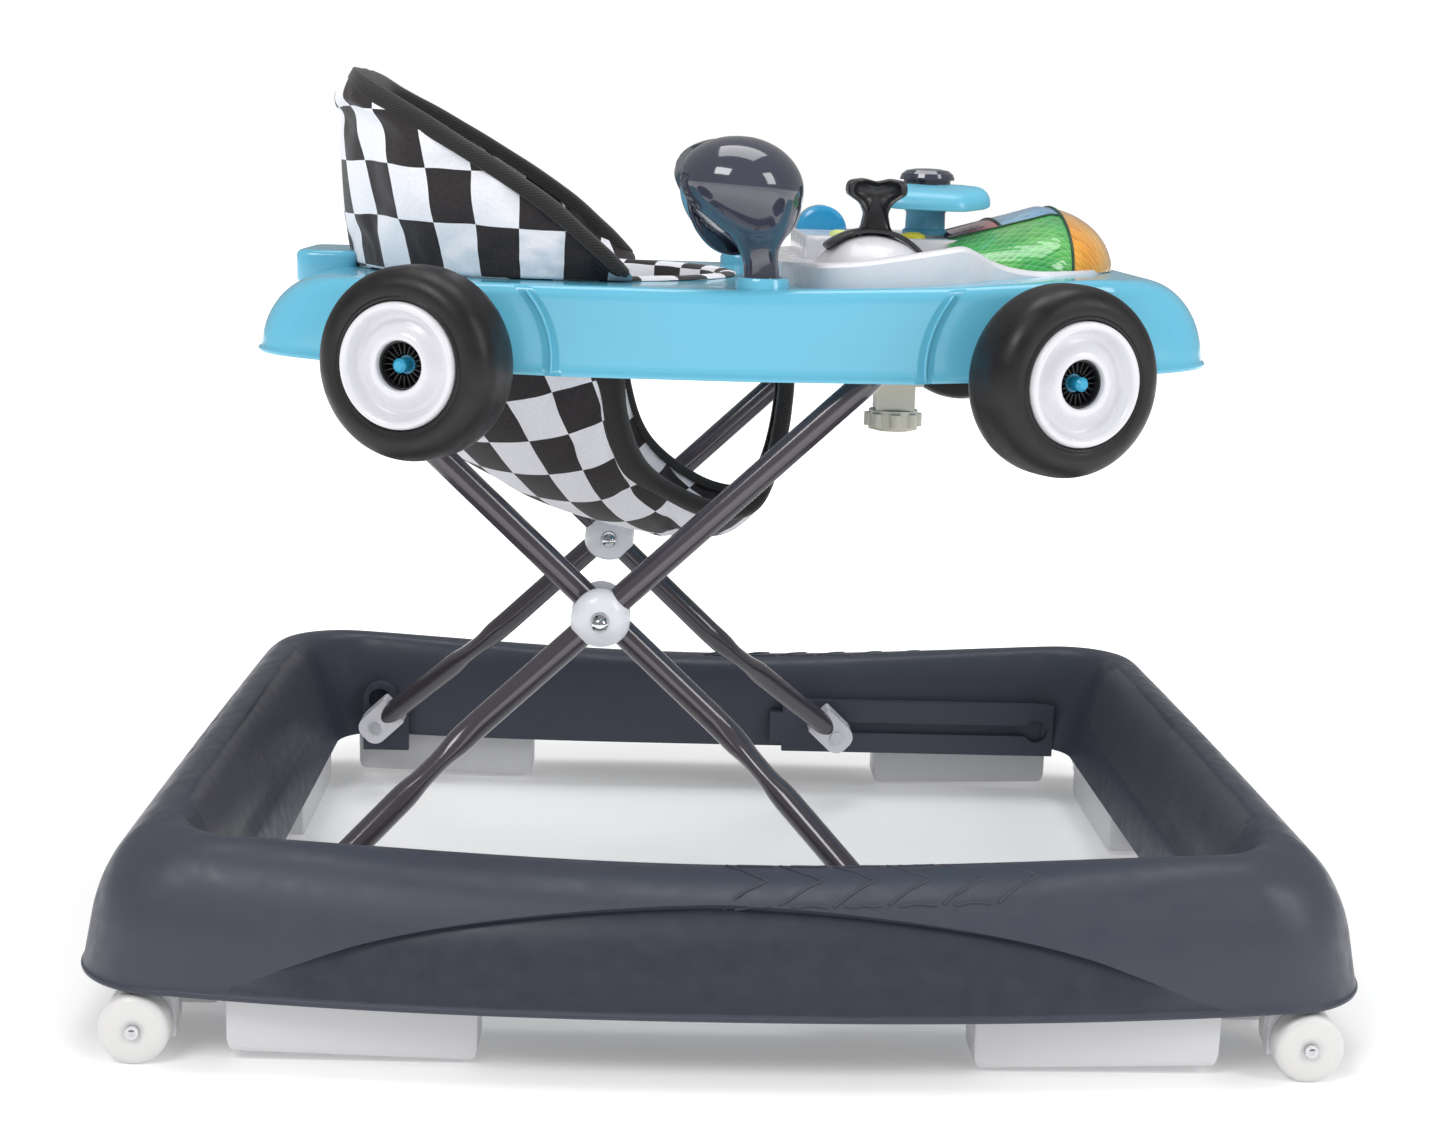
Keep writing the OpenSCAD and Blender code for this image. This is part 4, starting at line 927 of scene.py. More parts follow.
def tray_loop(v, d=0.0):
    """Outline of the tray at a share v of its height, moved inward by d."""
    end = 240 + (TRAY_L - 240) * math.sqrt(max(0, 1 - v * v)) - d
    w, curl = tray_side(v, d)
    a = arch_edge(v, d)
    half = [(end, 124 - d - curl, 52), (218, w - 13, 30), (192, w - 2.5, 20), (a + 6, w - 2.5, 4),
            (a - 4, w + 1, 4), (0, w + 3, 60), (4 - a, w + 1, 4), (-a - 6, w - 2.5, 4), (-192, w - 2.5, 20),
            (-218, w - 13, 30), (-end, 124 - d - curl, 52)]
    return rounded_polygon(half + [(x, -y, r) for x, y, r in half[::-1]], 9)


def tray_ring(v, d=0.0, drop=0.0):
    """Points round the tray at a share v of its height."""
    loop = tray_loop(v, d)
    low = lip_at(loop[:, 0])
    return np.c_[loop, low + v * (deck_at(loop[:, 0]) - drop - low)]


def deck_rings(drop):
    """Rings over the deck, from its edge to the seat hole."""
    loop = tray_loop(0.995)
    centre = np.array((SEAT_X, 0.0))
    hole = centre + HOLE_R * unit(loop - centre)
    rings = []
    for t in np.linspace(0.04, 1, 22):
        xy = loop + (hole - loop) * t
        rings.append(np.c_[xy, deck_at(xy[:, 0]) - drop])
    return rings


def tray():
    levels = [0.0, 0.03, 0.05, 0.07, *np.linspace(0.11, 0.86, 18), *np.linspace(0.88, 0.995, 9)]
    bead = {0.0: -1.4, 0.03: -1.8, 0.05: -1.2, 0.07: -0.2}
    outside = [tray_ring(v, bead.get(v, 0.0)) for v in levels]
    inside = [tray_ring(v, TRAY_WALL, TRAY_WALL) for v in (0.95, 0.8, 0.5, 0.2, 0.0)]
    rings = outside + deck_rings(0) + deck_rings(TRAY_WALL)[::-1] + inside
    verts, faces = skin(np.array(rings), loop_closed=True)
    piece("tray_body", verts, faces, "sky", "tray", "sky_plastic", smooth=35, replaces=("tray_shell",))
    parts = []
    for sx, sy in SIDES:
        path = []
        for v in np.linspace(0.02, 0.93, 30):
            a, w = arch_edge(v), tray_side(v, 0)[0]
            low = float(lip_at(sx * a))
            path.append((sx * (a + 1), sy * (w - 0.4), low + v * (float(deck_at(sx * a)) - low)))
        parts.append(skin(tube(path, 1.1, 10, normal=(0, sy, 0.2)), caps=True))
        if sx > 0:
            parts.append(skin(revolved(PEG_COLLAR, 40, at(MIRROR_X, sy * MIRROR_Y, 0)), loop_closed=True))
    verts, faces = joined(*parts)
    piece("tray_beads", verts, faces, "sky", "tray", "sky_plastic", smooth=50)
    low, high = box_of("rear_block")
    outline = rounded_polygon([(low[0], low[1], 14), (low[0], high[1], 14), (high[0] + 4, high[1], 10),
                               (high[0] + 4, low[1], 10)], 8)
    verts, faces = slab(outline, low[2] + 2, high[2], 4.5, 6)
    piece("rear_block_cover", verts, faces, "sky", "tray", "sky_plastic", smooth=50,
          replaces=("rear_block",))


# ---------------------------------------------------------------- toy wheels

def toy_wheel_frame(sx, sy):
    """Places a turned shape on a toy wheel: +Z is outward along its axle, 0 its outer face."""
    out = math.atan2(sy * math.cos(SPLAY), sx * math.sin(SPLAY))
    return at(sx * WHEEL[0], sy * WHEEL[1], WHEEL[2]) @ turn(0, 90, math.degrees(out))


# Radius and place along the axle: the inner corners, the curve over the tread, and the rear corners.
TYRE_START = [(13.6, -16), (13.6, -9), (35.5, -9), (35.5, -2.4), (36.1, -1.1), (37.4, -0.8), (38.4, -1.5)]
TYRE_CURVE = [(40, -1.0), (43.5, -1.0), (47, -2.3), (50.3, -5), (52.7, -8.8), (54.0, -13.5), (54.4, -19),
              (54.5, -26), (54.3, -31), (53.4, -36), (51.4, -40.2), (48, -43.6), (43.5, -45.4), (38, -46)]
TYRE_END = [(34, -45.6), (32, -42), (12, -41), (12, -46), (5, -46), (4.4, -16)]
RIM_START, RIM_END = (13.8, -9), (35.3, -9)
RIM_CURVE = [(13.8, -3.6), (14.3, -2.7), (15.6, -2.2), (18, -2.9), (21.5, -5.6), (25, -7.4), (27.8, -6.8),
             (29.4, -3.8), (30.2, -0.4), (31.2, 1.2), (32.8, 1.9), (34.2, 1.4), (35.0, 0.0), (35.3, -2.0)]
HUB_RIBS = 20


def toy_wheels():
    for (sx, sy), name in CORNER.items():
        place = toy_wheel_frame(sx, sy)
        body = "toy_wheel_" + name
        tyre = np.vstack([TYRE_START, spline(TYRE_CURVE, 4), TYRE_END])
        verts, faces = skin(revolved(tyre, 112, place), loop_closed=True)
        piece("toy_tyre_" + name, verts, faces, "tyre", body, "tyre_black", smooth=35,
              replaces=("tyre_" + name,))
        dish = np.vstack([RIM_START, spline(RIM_CURVE, 4), RIM_END])
        verts, faces = skin(revolved(dish, 96, place), loop_closed=True)
        piece("toy_rim_" + name, verts, faces, "white", body, "white_plastic", smooth=60,
              replaces=("rim_" + name,))
        ribs = []
        for i in range(HUB_RIBS):
            points, rib = slab([(6, -0.35), (13.6, -0.35), (13.6, 0.35), (6, 0.35)], -15.9, -9.5, 0.2, 1)
            ribs.append((placed(points, place @ turn(0, 0, i * 360 / HUB_RIBS)), rib))
        sleeve = [(12.6, -16), (12.6, -6.2), (13.6, -6.2), (13.6, -16)]
        ribs.append(skin(revolved(sleeve, 60, place), loop_closed=True))
        verts, faces = joined(*ribs)
        piece("toy_hub_" + name, verts, faces, "black", body, "tyre_black", smooth=30)


# ---------------------------------------------------------------- mirrors

# Rear-view bulb seen from the side: height, x of its middle, radius.
BULB = [(419, 12.6, 11.4), (423, 12.4, 10.7), (429, 12, 10.3), (435, 11.2, 10.5), (441, 9.8, 12.4),
        (446.5, 7.8, 17), (452, 5.6, 23.4), (458, 3.2, 28.6), (465, 0.8, 33.2), (472, -1.2, 36),
        (479, -2.3, 36.8), (486, -2.9, 34.8), (492.5, -3.2, 30.4), (498, -3.3, 24), (502, -3.2, 16),
        (504.2, -3.2, 8), (504.8, -3.2, 0.5)]
GLASS_TURN, GLASS_TILT = math.radians(46), math.radians(18)


def mirrors():
    for sy, side in ((1, "left"), (-1, "right")):
        rows = spline(BULB, 5)
        a = np.linspace(0, 2 * math.pi, 73)[:-1]
        rings = np.stack([level(np.c_[x + r * np.cos(a), sy * MIRROR_Y + r * np.sin(a)], z)
                          for z, x, r in rows])
        facing = Vector((-math.cos(GLASS_TURN), -sy * math.sin(GLASS_TURN), 0))
        facing = np.array(Matrix.Rotation(-GLASS_TILT, 3, "Y") @ facing)
        low, high = box_of("mirror_glass_" + side)
        middle = (low + high) / 2
        past = (rings - middle) @ facing + 1.0
        rings = rings - np.maximum(past, 0)[..., None] * facing
        verts, faces = skin(rings, caps=True)
        up = Vector(facing).to_track_quat("Z", "Y").to_matrix().to_4x4()
        bead = revolved([(29.2, -2.2), (29.2, 0.3), (29.6, 0.7), (30.2, 0.5), (30.6, -0.4), (30.6, -2.2)], 72,
                        at(*middle) @ up)
        bead_part = skin(bead, loop_closed=True)
        verts, faces = joined((verts, faces), bead_part)
        body = "mirror_" + side[0]
        piece("mirror_bulb_" + side, verts, faces, "gloss_black", body, "black_plastic", smooth=40,
              replaces=("mirror_" + side,))
        part = skin(revolved([(15.6, 412), (15.8, 423), (14.8, 424.6), (11.6, 424.8), (11.4, 412)], 40,
                             at(MIRROR_X, sy * MIRROR_Y, 0)), loop_closed=True)
        piece("mirror_collar_" + side, *part, "sky", "tray", "sky_plastic", smooth=40)


# ---------------------------------------------------------------- console

# Half width and top of the white console and its fairing along the car.
CONSOLE_PLAN = [(27, 78, 431), (34, 106, 432), (48, 124, 433), (70, 131, 435), (95, 131, 439),
                (118, 129, 443), (132, 125, 445), (142, 119, 441.5), (152, 112, 436.5), (164, 107, 432.8),
                (178, 104.5, 431), (192, 102.5, 431), (206, 96, 431.4), (218, 82, 431.6), (228, 62, 431.8)]
STEER_X = 124.0
DOME = np.array((81.0, -85.0, 409.4))
DOME_R = 40.6


def console_skirt():
    """White console that runs out into the fairing, with a raised block for the toys."""
    rows = spline(CONSOLE_PLAN, 6)
    u = np.linspace(-1, 1, 61)
    rings = []
    for x, w, z in rows:
        y = w * np.sign(u) * np.abs(u) ** 0.8
        fall = 3.0 * np.clip((np.abs(u) - 0.955) / 0.045, 0, 1) ** 2
        basin = 0.6 * (z - 430.5) * smoothstep(0.0, 1.0, (0.93 - np.abs(u)) / 0.12)
        row = np.c_[np.full(len(u), x), y, z - fall - basin]
        base = float(deck_at(x)) - 1.5
        rings.append(np.vstack([(x, row[0, 1], base), row, (x, row[-1, 1], base)]))
    verts, faces = skin(np.array(rings), caps=True)
    block = rounded_polygon([(44, -52, 12), (145, -52, 12), (145, 112, 12), (44, 112, 12)], 8)
    block_part = slab(block, 424, 446, 2.5, 5)
    verts, faces = joined((verts, faces), block_part)
    piece("console_cover", verts, faces, "white", "tray", "white_plastic", smooth=40, replaces=("console",))


def gear_lever():
    half = [(-13, -6, 3), (-8.5, 3, 6), (-6.8, 11, 7), (-9.5, 17, 8), (-18, 22.5, 4), (-17.5, 30, 5),
            (-8, 31.5, 10)]
    outline = rounded_polygon(half + [(0, 29.5, 10)] + [(-x, z, r) for x, z, r in half[::-1]], 6)
    middle = np.array((0, 22.0))
    steps = [(1.0, 7.5), (1.03, 4.5), (1.03, -4.5), (1.0, -7.2), (0.93, -8.0), (0.86, -7.4), (0.8, -4.5),
             (0.62, -1.5), (0.3, -0.4), (0.04, 0)]
    rings = []
    for share, y in steps:
        p = middle + (outline - middle) * share
        if share < 0.9:
            p[:, 0] *= 0.94
        rings.append(np.c_[p[:, 0], np.full(len(p), y), p[:, 1]])
    top = DOME + np.array((2.0, 0.0, DOME_R + 1.0))
    verts, faces = skin(np.array(rings) + top, caps=True)
    band = []
    for angle in np.linspace(-42, 56, 50):
        a = math.radians(angle)
        half = 13 - 7.5 * float(smoothstep(10, 50, angle)) + 2.5 * float(smoothstep(-20, -38, angle))
        tip = math.sqrt(max(0.02, 1 - max(0, abs(angle - 7) - 44) ** 2 / 26))
        out = np.array((math.sin(a), 0, math.cos(a)))
        ring = []
        for side, r in ((-1, 0.5), (-1, 2.2), (-0.9, 3.1), (0, 3.5), (0.9, 3.1), (1, 2.2), (1, 0.5)):
            ring.append(DOME + out * (DOME_R + r) + np.array((0, side * half * tip, 0)))
        band.append(ring)
    verts, faces = joined((verts, faces), skin(np.array(band), caps=True))
    piece("gear_lever_grip", verts, faces, "black", "gear", "black_plastic", smooth=40,
          replaces=("gear_lever",))


def cut_out(obj, outlines, z0, z1):
    """Cuts upright holes with the given outlines through a mesh object."""
    cutters = []
    for outline in outlines:
        verts, faces = skin(np.array([level(outline, z) for z in (z0, z1)]), caps=True)
        mesh = bpy.data.meshes.new("cutter")
        mesh.from_pydata([tuple(v * MM) for v in verts], [], faces)
        shape = linked("cutter", mesh)
        made = obj.modifiers.new("hole", "BOOLEAN")
        made.operation, made.solver, made.object = "DIFFERENCE", "EXACT", shape
        cutters.append(shape)
    graph = bpy.context.evaluated_depsgraph_get()
    mesh = bpy.data.meshes.new_from_object(obj.evaluated_get(graph))
    obj.modifiers.clear()
    obj.data = mesh
    for shape in cutters:
        bpy.data.objects.remove(shape)
    mesh.shade_smooth()
    mesh.set_sharp_from_angle(angle=math.radians(40))


def steering():
    x = STEER_X
    plate = rounded_polygon([(x - 30, -50, 16), (x + 14, -58, 18), (x + 36, -40, 18), (x + 38, 0, 60),
                             (x + 36, 40, 18), (x + 14, 58, 18), (x - 30, 50, 16), (x - 36, 26, 22),
                             (x - 36, -26, 22)], 9)
    centre = plate.mean(0)
    inward = unit(centre - plate)
    rings = [level(plate + inward * inset, z)
             for inset, z in ((3, 468.4), (0.8, 468), (0, 468.6), (0, 471), (0.8, 473.6), (2.6, 476),
                              (5.4, 477.8), (9, 478.8), (14, 479.2), (24, 479.3))]
    rings.append(level(centre + (plate - centre) * 0.02, 479.3))
    under = [level(centre + (plate - centre) * s, 469.9) for s in (0.02, 0.85)]
    verts, faces = skin(np.array(under + rings), caps=True)
    hub = skin(revolved([(0.5, 447), (14.5, 447), (14.5, 450), (12.8, 451), (12.6, 461), (14, 463.5),
                         (17.5, 465), (17.8, 469.5), (0.5, 469.5)], 64, at(x, 0, 0)), caps=True)
    verts = verts - np.c_[np.zeros((len(verts), 2)), 4.5 * smoothstep(22, 58, np.abs(verts[:, 1]))]
    obj = piece("steering_plate", verts, faces, "sky_soft", "steering", "sky_plastic", smooth=40,
                replaces=("steering_wheel",))
    grips = [rounded_polygon([(x - 16, s * 26, 6), (x + 14, s * 26, 6), (x + 14, s * 42, 7),
                              (x - 16, s * 40, 7)], 6) for s in (1, -1)]
    cut_out(obj, grips, 460, 490)
    piece("steering_hub", *hub, "sky_soft", "steering", "sky_plastic", smooth=40)


# ---------------------------------------------------------------- faceted nose

NOSE_BASE = 429.2
FRONT_SEAM, MID_SEAM = 204.0, 166.0


def nose_shape(x):
    """Height and half width of the nose at a station."""
    h = 38 * math.sqrt(max(0.0, 1 - ((x - 196) / 46.4) ** 2)) if x > 196 else 38 - 0.31 * (196 - x)
    w = 99 * math.sqrt(max(0.0, 1 - ((x - 180) / (63.4 if x > 180 else 90)) ** 2))
    return h, w


def nose_point(x, angle, lift=0.0):
    """Point of the nose at a station and an angle round it, raised by lift."""
    h, w = nose_shape(x)
    a = math.radians(angle)
    ahead = lift * max(0, x - 200) / 40
    return np.array((x + ahead, (w + lift) * math.cos(a), NOSE_BASE + (h + lift) * math.sin(a)))


def nose_patch(name, x0, x1, a0, a1, material, quilt, replaces=()):
    """Part of the nose between two stations and two angles, with quilted facets."""
    nx, na = max(6, int((x1 - x0) / 0.9)), max(6, int((a1 - a0) / 0.9))
    outer, inner, uv = [], [], []
    for x in np.linspace(x0, x1, nx):
        row, back = [], []
        h, w = nose_shape(x)
        spread = []
        for a in np.linspace(a0, a1, na):
            arc = math.radians(a) * 0.5 * (w + h)
            spread.append((x, arc))
            along, round_ = x / FACET_X, arc / FACET_S
            ridge = abs((along + round_) % 2 - 1) + abs((along - round_) % 2 - 1)
            row.append(nose_point(x, a, quilt * (1 - ridge)))
            back.append(nose_point(x, a, -2.4))
        outer.append(row)
        inner.append(back[::-1])
        uv += spread + spread[::-1]
    rings = np.concatenate([np.array(outer), np.array(inner)], axis=1)
    verts, faces = skin(rings, caps=True)
    return piece(name, verts, faces, material, "tray", material, uv=uv, smooth=30, replaces=replaces)


def nose():
    for sy, side in ((1, "left"), (-1, "right")):
        a0, a1 = (1, 62) if sy > 0 else (118, 179)
        nose_patch("nose_side_" + side, 132, FRONT_SEAM - 0.4, a0, a1, "nose_green", 0.16,
                   ("nose_green",) if sy > 0 else ())
    nose_patch("nose_crest_rear", 138, MID_SEAM - 0.5, 63, 117, "nose_red", 0.12, ("nose_red",))
    nose_patch("nose_crest_front", MID_SEAM + 0.5, FRONT_SEAM - 0.4, 63, 117, "nose_blue", 0.12,
               ("nose_blue",))
    nose_patch("nose_dome", FRONT_SEAM + 0.4, 241.6, 1, 179, "nose_orange", 0.12, ("nose_orange",))
    parts = []
    for angle in (62.5, 117.5):
        path = [nose_point(x, angle, 0.5) for x in np.linspace(134, FRONT_SEAM, 40)]
        parts.append(skin(tube(path, 0.8, 8), caps=True))
    for x, a0, a1 in ((FRONT_SEAM, 2, 178), (MID_SEAM, 63, 117)):
        path = [nose_point(x, a, 0.4) for a in np.linspace(a0, a1, 90)]
        parts.append(skin(tube(path, 0.9, 8, normal=(1, 0, 0)), caps=True))
    verts, faces = joined(*parts)
    piece("nose_seams", verts, faces, "line", "tray", "nose_green", smooth=60)


# ---------------------------------------------------------------- castors and pads

def castors():
    for name in CORNER.values():
        low, high = box_of("castor_wheels_" + name)
        middle = (low + high) / 2
        r, half = (high[0] - low[0]) / 2, (high[1] - low[1]) / 2
        parts = []
        for side in (1, -1):
            profile = [(2.6, 4.4), (r - 1.8, 4.4), (r - 0.5, 5.2), (r, 7), (r, half - 3.6),
                       (r - 0.5, half - 1.8), (r - 1.8, half - 0.6), (r - 4, half), (9, half),
                       (6.4, half - 0.3), (4.8, half - 1.3), (2.6, half - 1.6)]
            rings = revolved(profile, 72, at(*middle) @ turn(-90 * side, 0, 0))
            parts.append(skin(rings, loop_closed=True))
        screws = [skin(revolved([(0.3, half + 2.2), (1.6, half + 2.0), (2.9, half + 1.2), (3.7, half - 0.1),
                                 (3.8, half - 1.5)], 32, at(*middle) @ turn(-90 * side, 0, 0)), caps=True)
                  for side in (1, -1)]
        piece("castor_screws_" + name, *joined(*screws), "steel", "castor_roll_" + name, "steel", smooth=60)
        verts, faces = joined(*parts)
        piece("castor_tyres_" + name, verts, faces, "ivory", "castor_roll_" + name, "white_plastic",
              smooth=35, replaces=("castor_wheels_" + name,))


def stop_pads():
    """Moulded stop pads under the ring: rounded blocks whose lower corners are cut."""
    def pad(length, low, high, top, place):
        cut = 2.0
        side = rounded_polygon([(0, top, 1), (0.4, low + 6, 3), (cut, low, 4), (length - cut, high, 4),
                                (length - 0.4, high + 6, 3), (length, top, 1)], 5)
        rings = []
        for inset, y in ((2.5, -16), (0.7, -15.3), (0, -13.5), (0, 13.5), (0.7, 15.3), (2.5, 16)):
            p = side - unit(side - side.mean(0)) * inset
            rings.append(np.c_[p[:, 0], np.full(len(p), y), p[:, 1]])
        verts, faces = skin(np.array(rings), caps=True)
        return placed(verts, place), faces
    parts = []
    for sx, sy in SIDES:
        flip = Matrix.Diagonal((sx, sy, 1, 1))
        parts.append(pad(138, 2.5, 6, 60, flip @ at(136, 275, 0)))
        parts.append(pad(140, 4, 6, 50, flip @ at(307, 88, 0) @ turn(0, 0, 90)))
    verts, faces = joined(*parts)
    piece("stop_pads", verts, faces, "pad", "base", "white_plastic", smooth=35, replaces=("base_pads",))


# ---------------------------------------------------------------- scissor tubes

HUB = np.array((-77.0, 222.0))
PIVOT = np.array((-254.0, 55.0))
FOOT_Y, BEND_R, KNEE = 214.0, 42.0, 0.47
OUTER_Y, INNER_Y = 147.3, 130.7   # the outer and the inner tube's distance from the middle


def frame_tube(name, ahead, y, node, body):
    """One bent tube of the scissor: foot, knee, up the leg, over the cross bar and down again."""
    run = np.array((ahead * (HUB[0] - PIVOT[0]), 0, HUB[1] - PIVOT[1]))
    half_leg = np.linalg.norm(run)
    hub = np.array((HUB[0], y, HUB[1]))
    foot = np.array((HUB[0] - run[0], FOOT_Y, PIVOT[1]))
    knee = hub - run * KNEE
    top = hub + run * (1 - BEND_R / half_leg)
    tip = run / half_leg
    half = [foot + (knee - foot) * t for t in np.linspace(0, 0.84, 22)]
    a, b = foot + (knee - foot) * 0.84, knee + (top - knee) * 0.06
    half += [bend(a, knee, b, t) for t in np.linspace(0.1, 1, 9)]
    half += [b + (top - b) * t for t in np.linspace(0.06, 0.94, 14)]
    half += [top + tip * BEND_R * math.sin(q) - np.array((0, BEND_R * (1 - math.cos(q)), 0))
             for q in np.linspace(0, math.pi / 2, 13)]
    half = np.array(half)
    other = half[::-1] * np.array((1, -1, 1))
    across = np.linspace(half[-1], other[0], 12)[1:-1]
    path = np.concatenate([half, across, other])
    normal = np.cross(run, (0, 1, 0)) / half_leg
    squeeze = knee + (foot - knee) * 0.16
    gap = np.minimum(np.linalg.norm(path - squeeze, axis=1),
                     np.linalg.norm(path * (1, -1, 1) - squeeze, axis=1))
    flat = 1 - 0.22 * np.exp(-(gap / 17.0) ** 4)
    rings = tube(path, 8.0, 28, normal=normal, flat=flat)
    verts, faces = skin(rings, caps=True)
    piece(name, verts, faces, "tube", body, "tube_metal", smooth=60, replaces=(node,))


CAP_DOME = [(7, 1.6), (16.6, 1.6), (17.6, 2.8), (17.5, 4.6), (15.9, 7.7), (13.0, 10.4), (9.0, 12.2),
            (5.2, 12.9), (4.9, 12.2), (0.4, 12.2)]
NUT_DOME = [(4.6, 10.5), (5.1, 14.2), (4.9, 16.2), (3.8, 18.1), (2.0, 19.2), (0.2, 19.5)]


def hub_caps():
    """Egg-shaped caps over the crossing of the legs, and the nuts in their middles."""
    for kind, y, facing, body in (("outer", OUTER_Y, 1, "frame_a"), ("inner", INNER_Y, -1, "frame_b")):
        domes, nuts = [], []
        for sy in (1, -1):
            place = at(HUB[0], sy * y, HUB[1]) @ turn(-90 * sy * facing, 0, 0)
            verts, faces = skin(revolved(spline(CAP_DOME, 3), 72, place), caps=True)
            rise = (verts[:, 2] - HUB[1]) / 17.6
            verts[:, 0] = HUB[0] + (verts[:, 0] - HUB[0]) * (1 - 0.09 * rise)
            domes.append((verts, faces))
            low = at(0, 0, -1.6) @ place
            nuts.append(skin(revolved(spline(NUT_DOME, 4), 40, low), caps=True))
        piece("hub_dome_" + kind, *joined(*domes), "cap", body, "clear_plastic", smooth=50,
              replaces=("hub_caps_" + kind,))
        piece("hub_nut_" + kind, *joined(*nuts), "steel", body, "steel", smooth=50)


# ---------------------------------------------------------------- seat rim

def seat_rim():
    """Check fabric folded over the edge of the seat hole."""
    section = [(109, 398), (108.6, 408), (109, 417), (110.6, 419.6), (113.5, 420.8), (117, 420.8),
               (120, 419.8), (121, 418.5), (119, 418.3), (112, 418.2), (111, 408), (111, 398)]
    steps = 160
    rings, uv = [], []
    run = run_along(section)
    for i in range(steps + 1):
        a = 2 * math.pi * i / steps
        ring = []
        for k, (r, z) in enumerate(section):
            ripple = 0.7 * noise.noise(Vector((5 * math.cos(a), 5 * math.sin(a), k * 0.4)))
            ring.append((SEAT_X + (r + ripple) * math.cos(a), (r + ripple) * math.sin(a), z + 0.5 * ripple))
            uv.append((a * 118, run[k]))
        rings.append(ring)
    verts, faces = skin(np.array(rings), ring_closed=True)
    material = check_cloth("seat_rim_check", (0.1, 0.35))
    obj = piece("seat_rim_cover", verts, faces, material, "tray", "seat_fabric", uv=uv, smooth=60,
                replaces=("seat_ring",))


# ---------------------------------------------------------------- stage

def camera():
    data = bpy.data.cameras.new("camera")
    data.lens, data.sensor_width, data.sensor_fit = 53.79, 36.0, "HORIZONTAL"
    data.clip_start, data.clip_end = 0.01, 100.0
    obj = linked("camera", data)
    pitch, yaw, roll = 0.193, 0.0380, 0.0315
    forward = Vector((math.sin(yaw) * math.cos(pitch), math.cos(yaw) * math.cos(pitch), -math.sin(pitch)))
    right = Vector((math.cos(yaw), -math.sin(yaw), 0))
    up = right.cross(forward)
    across = right * math.cos(roll) + up * math.sin(roll)
    upright = -right * math.sin(roll) + up * math.cos(roll)
    m = Matrix((across, upright, -forward)).transposed().to_4x4()
    m.translation = (-0.0529, -1.4047, 0.4955)
    obj.matrix_world = m
    bpy.context.scene.camera = obj


def area_light(name, place, target, size, power, colour=(1, 1, 1)):
    data = bpy.data.lights.new(name, "AREA")
    data.shape = "RECTANGLE"
    data.size, data.size_y = size
    data.energy = power
    data.color = colour
    obj = linked(name, data)
    obj.location = place
    obj.rotation_euler = (Vector(target) - Vector(place)).to_track_quat("-Z", "Y").to_euler()


ROOM, GLOSS_ROOM = 0.64, 0.32   # brightness of the white room, and what glossy surfaces mirror of it


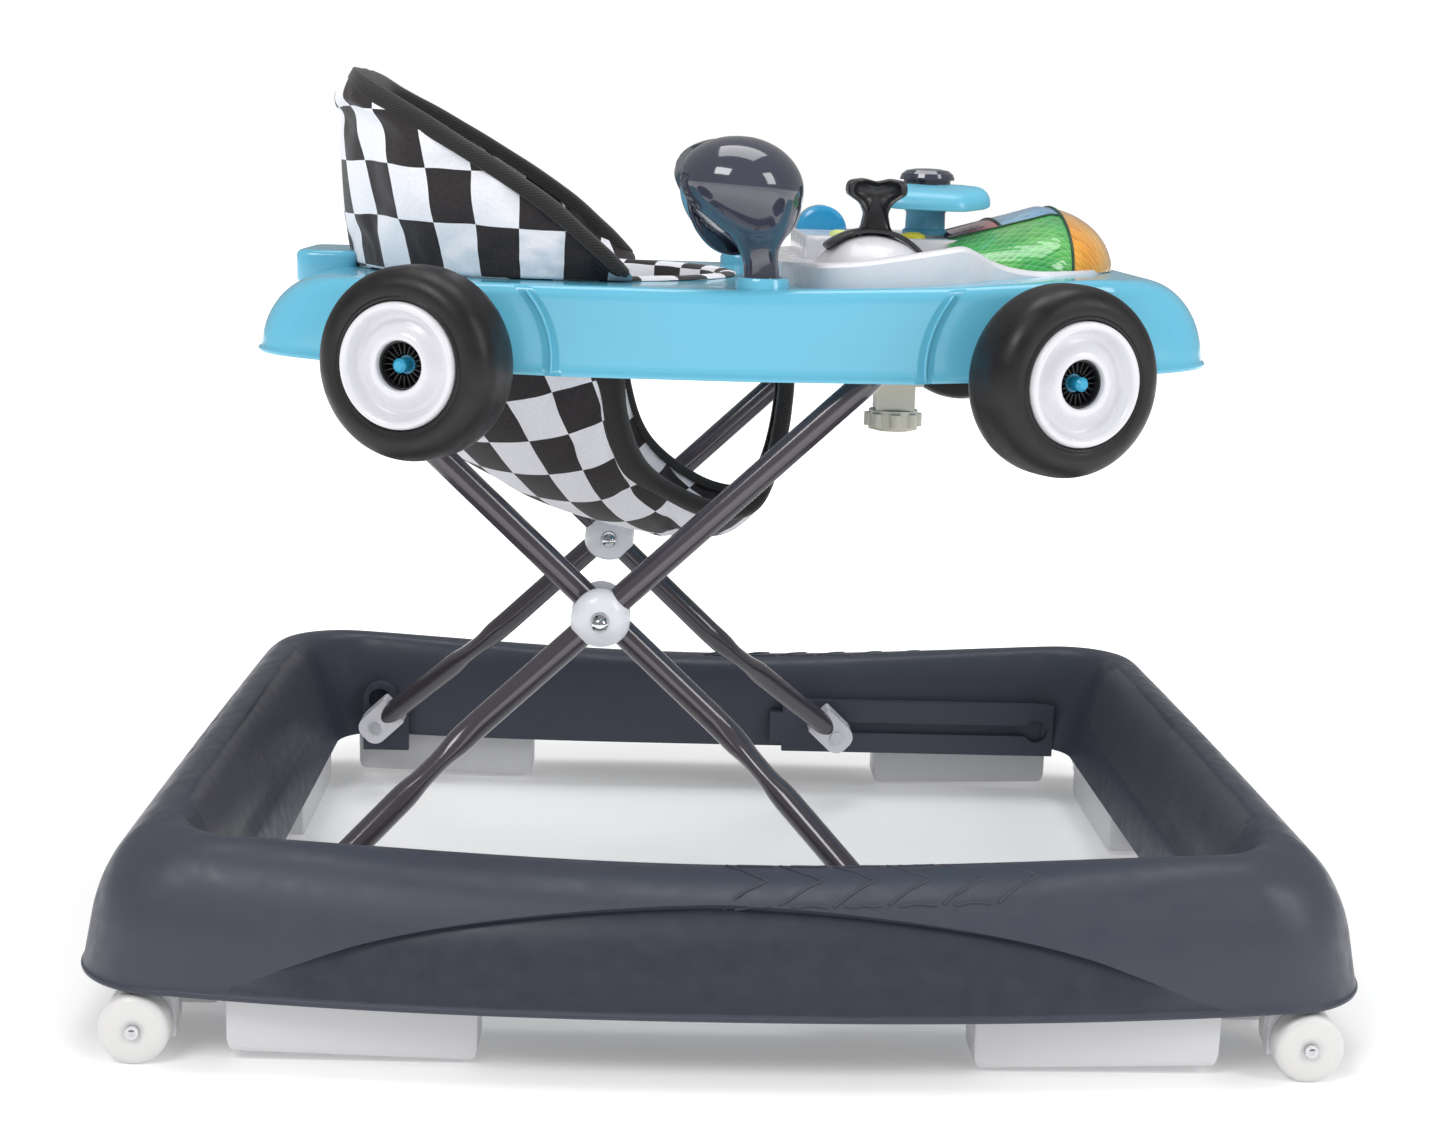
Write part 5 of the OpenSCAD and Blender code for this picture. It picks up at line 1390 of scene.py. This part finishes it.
def studio():
    """Pale floor that glows as painted light, least near the walker, and soft lights."""
    bpy.context.scene.view_settings.view_transform = "Standard"
    world = bpy.data.worlds.new("studio")
    world.use_nodes = True
    nodes, links = world.node_tree.nodes, world.node_tree.links
    path = nodes.new("ShaderNodeLightPath")
    dim = nodes.new("ShaderNodeMath")
    dim.operation = "MULTIPLY_ADD"
    links.new(path.outputs["Is Glossy Ray"], dim.inputs[0])
    dim.inputs[1].default_value, dim.inputs[2].default_value = GLOSS_ROOM - ROOM, ROOM
    seen = nodes.new("ShaderNodeMath")
    seen.operation = "MAXIMUM"
    links.new(path.outputs["Is Camera Ray"], seen.inputs[0])
    links.new(dim.outputs[0], seen.inputs[1])
    nodes["Background"].inputs["Color"].default_value = (1.0, 1.0, 1.0, 1)
    links.new(seen.outputs[0], nodes["Background"].inputs["Strength"])
    bpy.context.scene.world = world
    mesh = bpy.data.meshes.new("floor")
    s = 12.0
    mesh.from_pydata([(-s, -s, 0), (s, -s, 0), (s, s, 0), (-s, s, 0)], [], [(0, 1, 2, 3)])
    floor = linked("floor", mesh)
    m = Material("floor_paper")
    m.set(Base_Color=m.mix(m.ranged(m.noise(0.8), 0, 1), (0.86, 0.86, 0.86, 1), (0.9, 0.9, 0.9, 1)))
    # the floor glows though it is no lamp: painted light, weak within about half a metre of the middle and
    # strong beyond a metre
    away = m.add("VectorMath", {0: m.position()}, operation="LENGTH").outputs["Value"]
    m.set(Emission_Color=(1, 1, 1, 1), Emission_Strength=m.ranged(away, 0.18, 0.75, 0.48, 1.0))
    m.set(Roughness=0.9, Specular_IOR_Level=0.1)
    mesh.materials.append(m.mat)
    area_light("key", (-1.2, -1.7, 2.2), (0, 0, 0.25), (1.2, 0.9), 26)
    area_light("fill", (1.9, -1.3, 1.5), (0, 0, 0.25), (0.7, 1.3), 16)
    area_light("top", (0.1, 0.3, 2.4), (0, 0, 0.2), (1.6, 1.2), 18)


# ---------------------------------------------------------------- CAD nodes that keep their shape

NODE_MATERIAL = {
    "slate": ("slide_rail_left", "slide_rail_right", "pivot_brackets"),
    "gloss_black": ("horn_boss",),
    "white": ("frame_a_feet", "frame_b_feet", "hinge_clips", "lever_dome",
              *("castor_fork_" + k for k in CORNER.values())),
    "clear": ("castor_sockets",),
    "steel": ("rear_pivot_pins", "slider_pins", "hub_bolts"),
    "beige": ("adjuster_block", "adjuster_knob"),
    "sky": ("battery_cover",),
    "teal": ("wheel_pins",),
    "blue": ("toy_roller",),
    "black": ("speaker",),
    "board": ("circuit_board",),
    "coral": ("red_button",),
    "lime": ("green_button",),
    "yellow": ("yellow_button",),
    "mirror": ("mirror_glass_left", "mirror_glass_right"),
}


def dress_nodes():
    for material, nodes in NODE_MATERIAL.items():
        for node in nodes:
            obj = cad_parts[node]
            obj.data.materials.clear()
            obj.data.materials.append(MATERIALS[material])


dress_nodes()
outer, share = base_ring()
ring_chevrons(outer, share)
tray()
toy_wheels()
mirrors()
console_skirt()
gear_lever()
steering()
nose()
castors()
stop_pads()
frame_tube("scissor_tube_outer", 1, OUTER_Y, "frame_a_tube", "frame_a")
frame_tube("scissor_tube_inner", -1, INNER_Y, "frame_b_tube", "frame_b")
hub_caps()
seat_rim()
seat_backrest()
seat_binding()
seat_hammock()
sling_tapes()
camera()
studio()
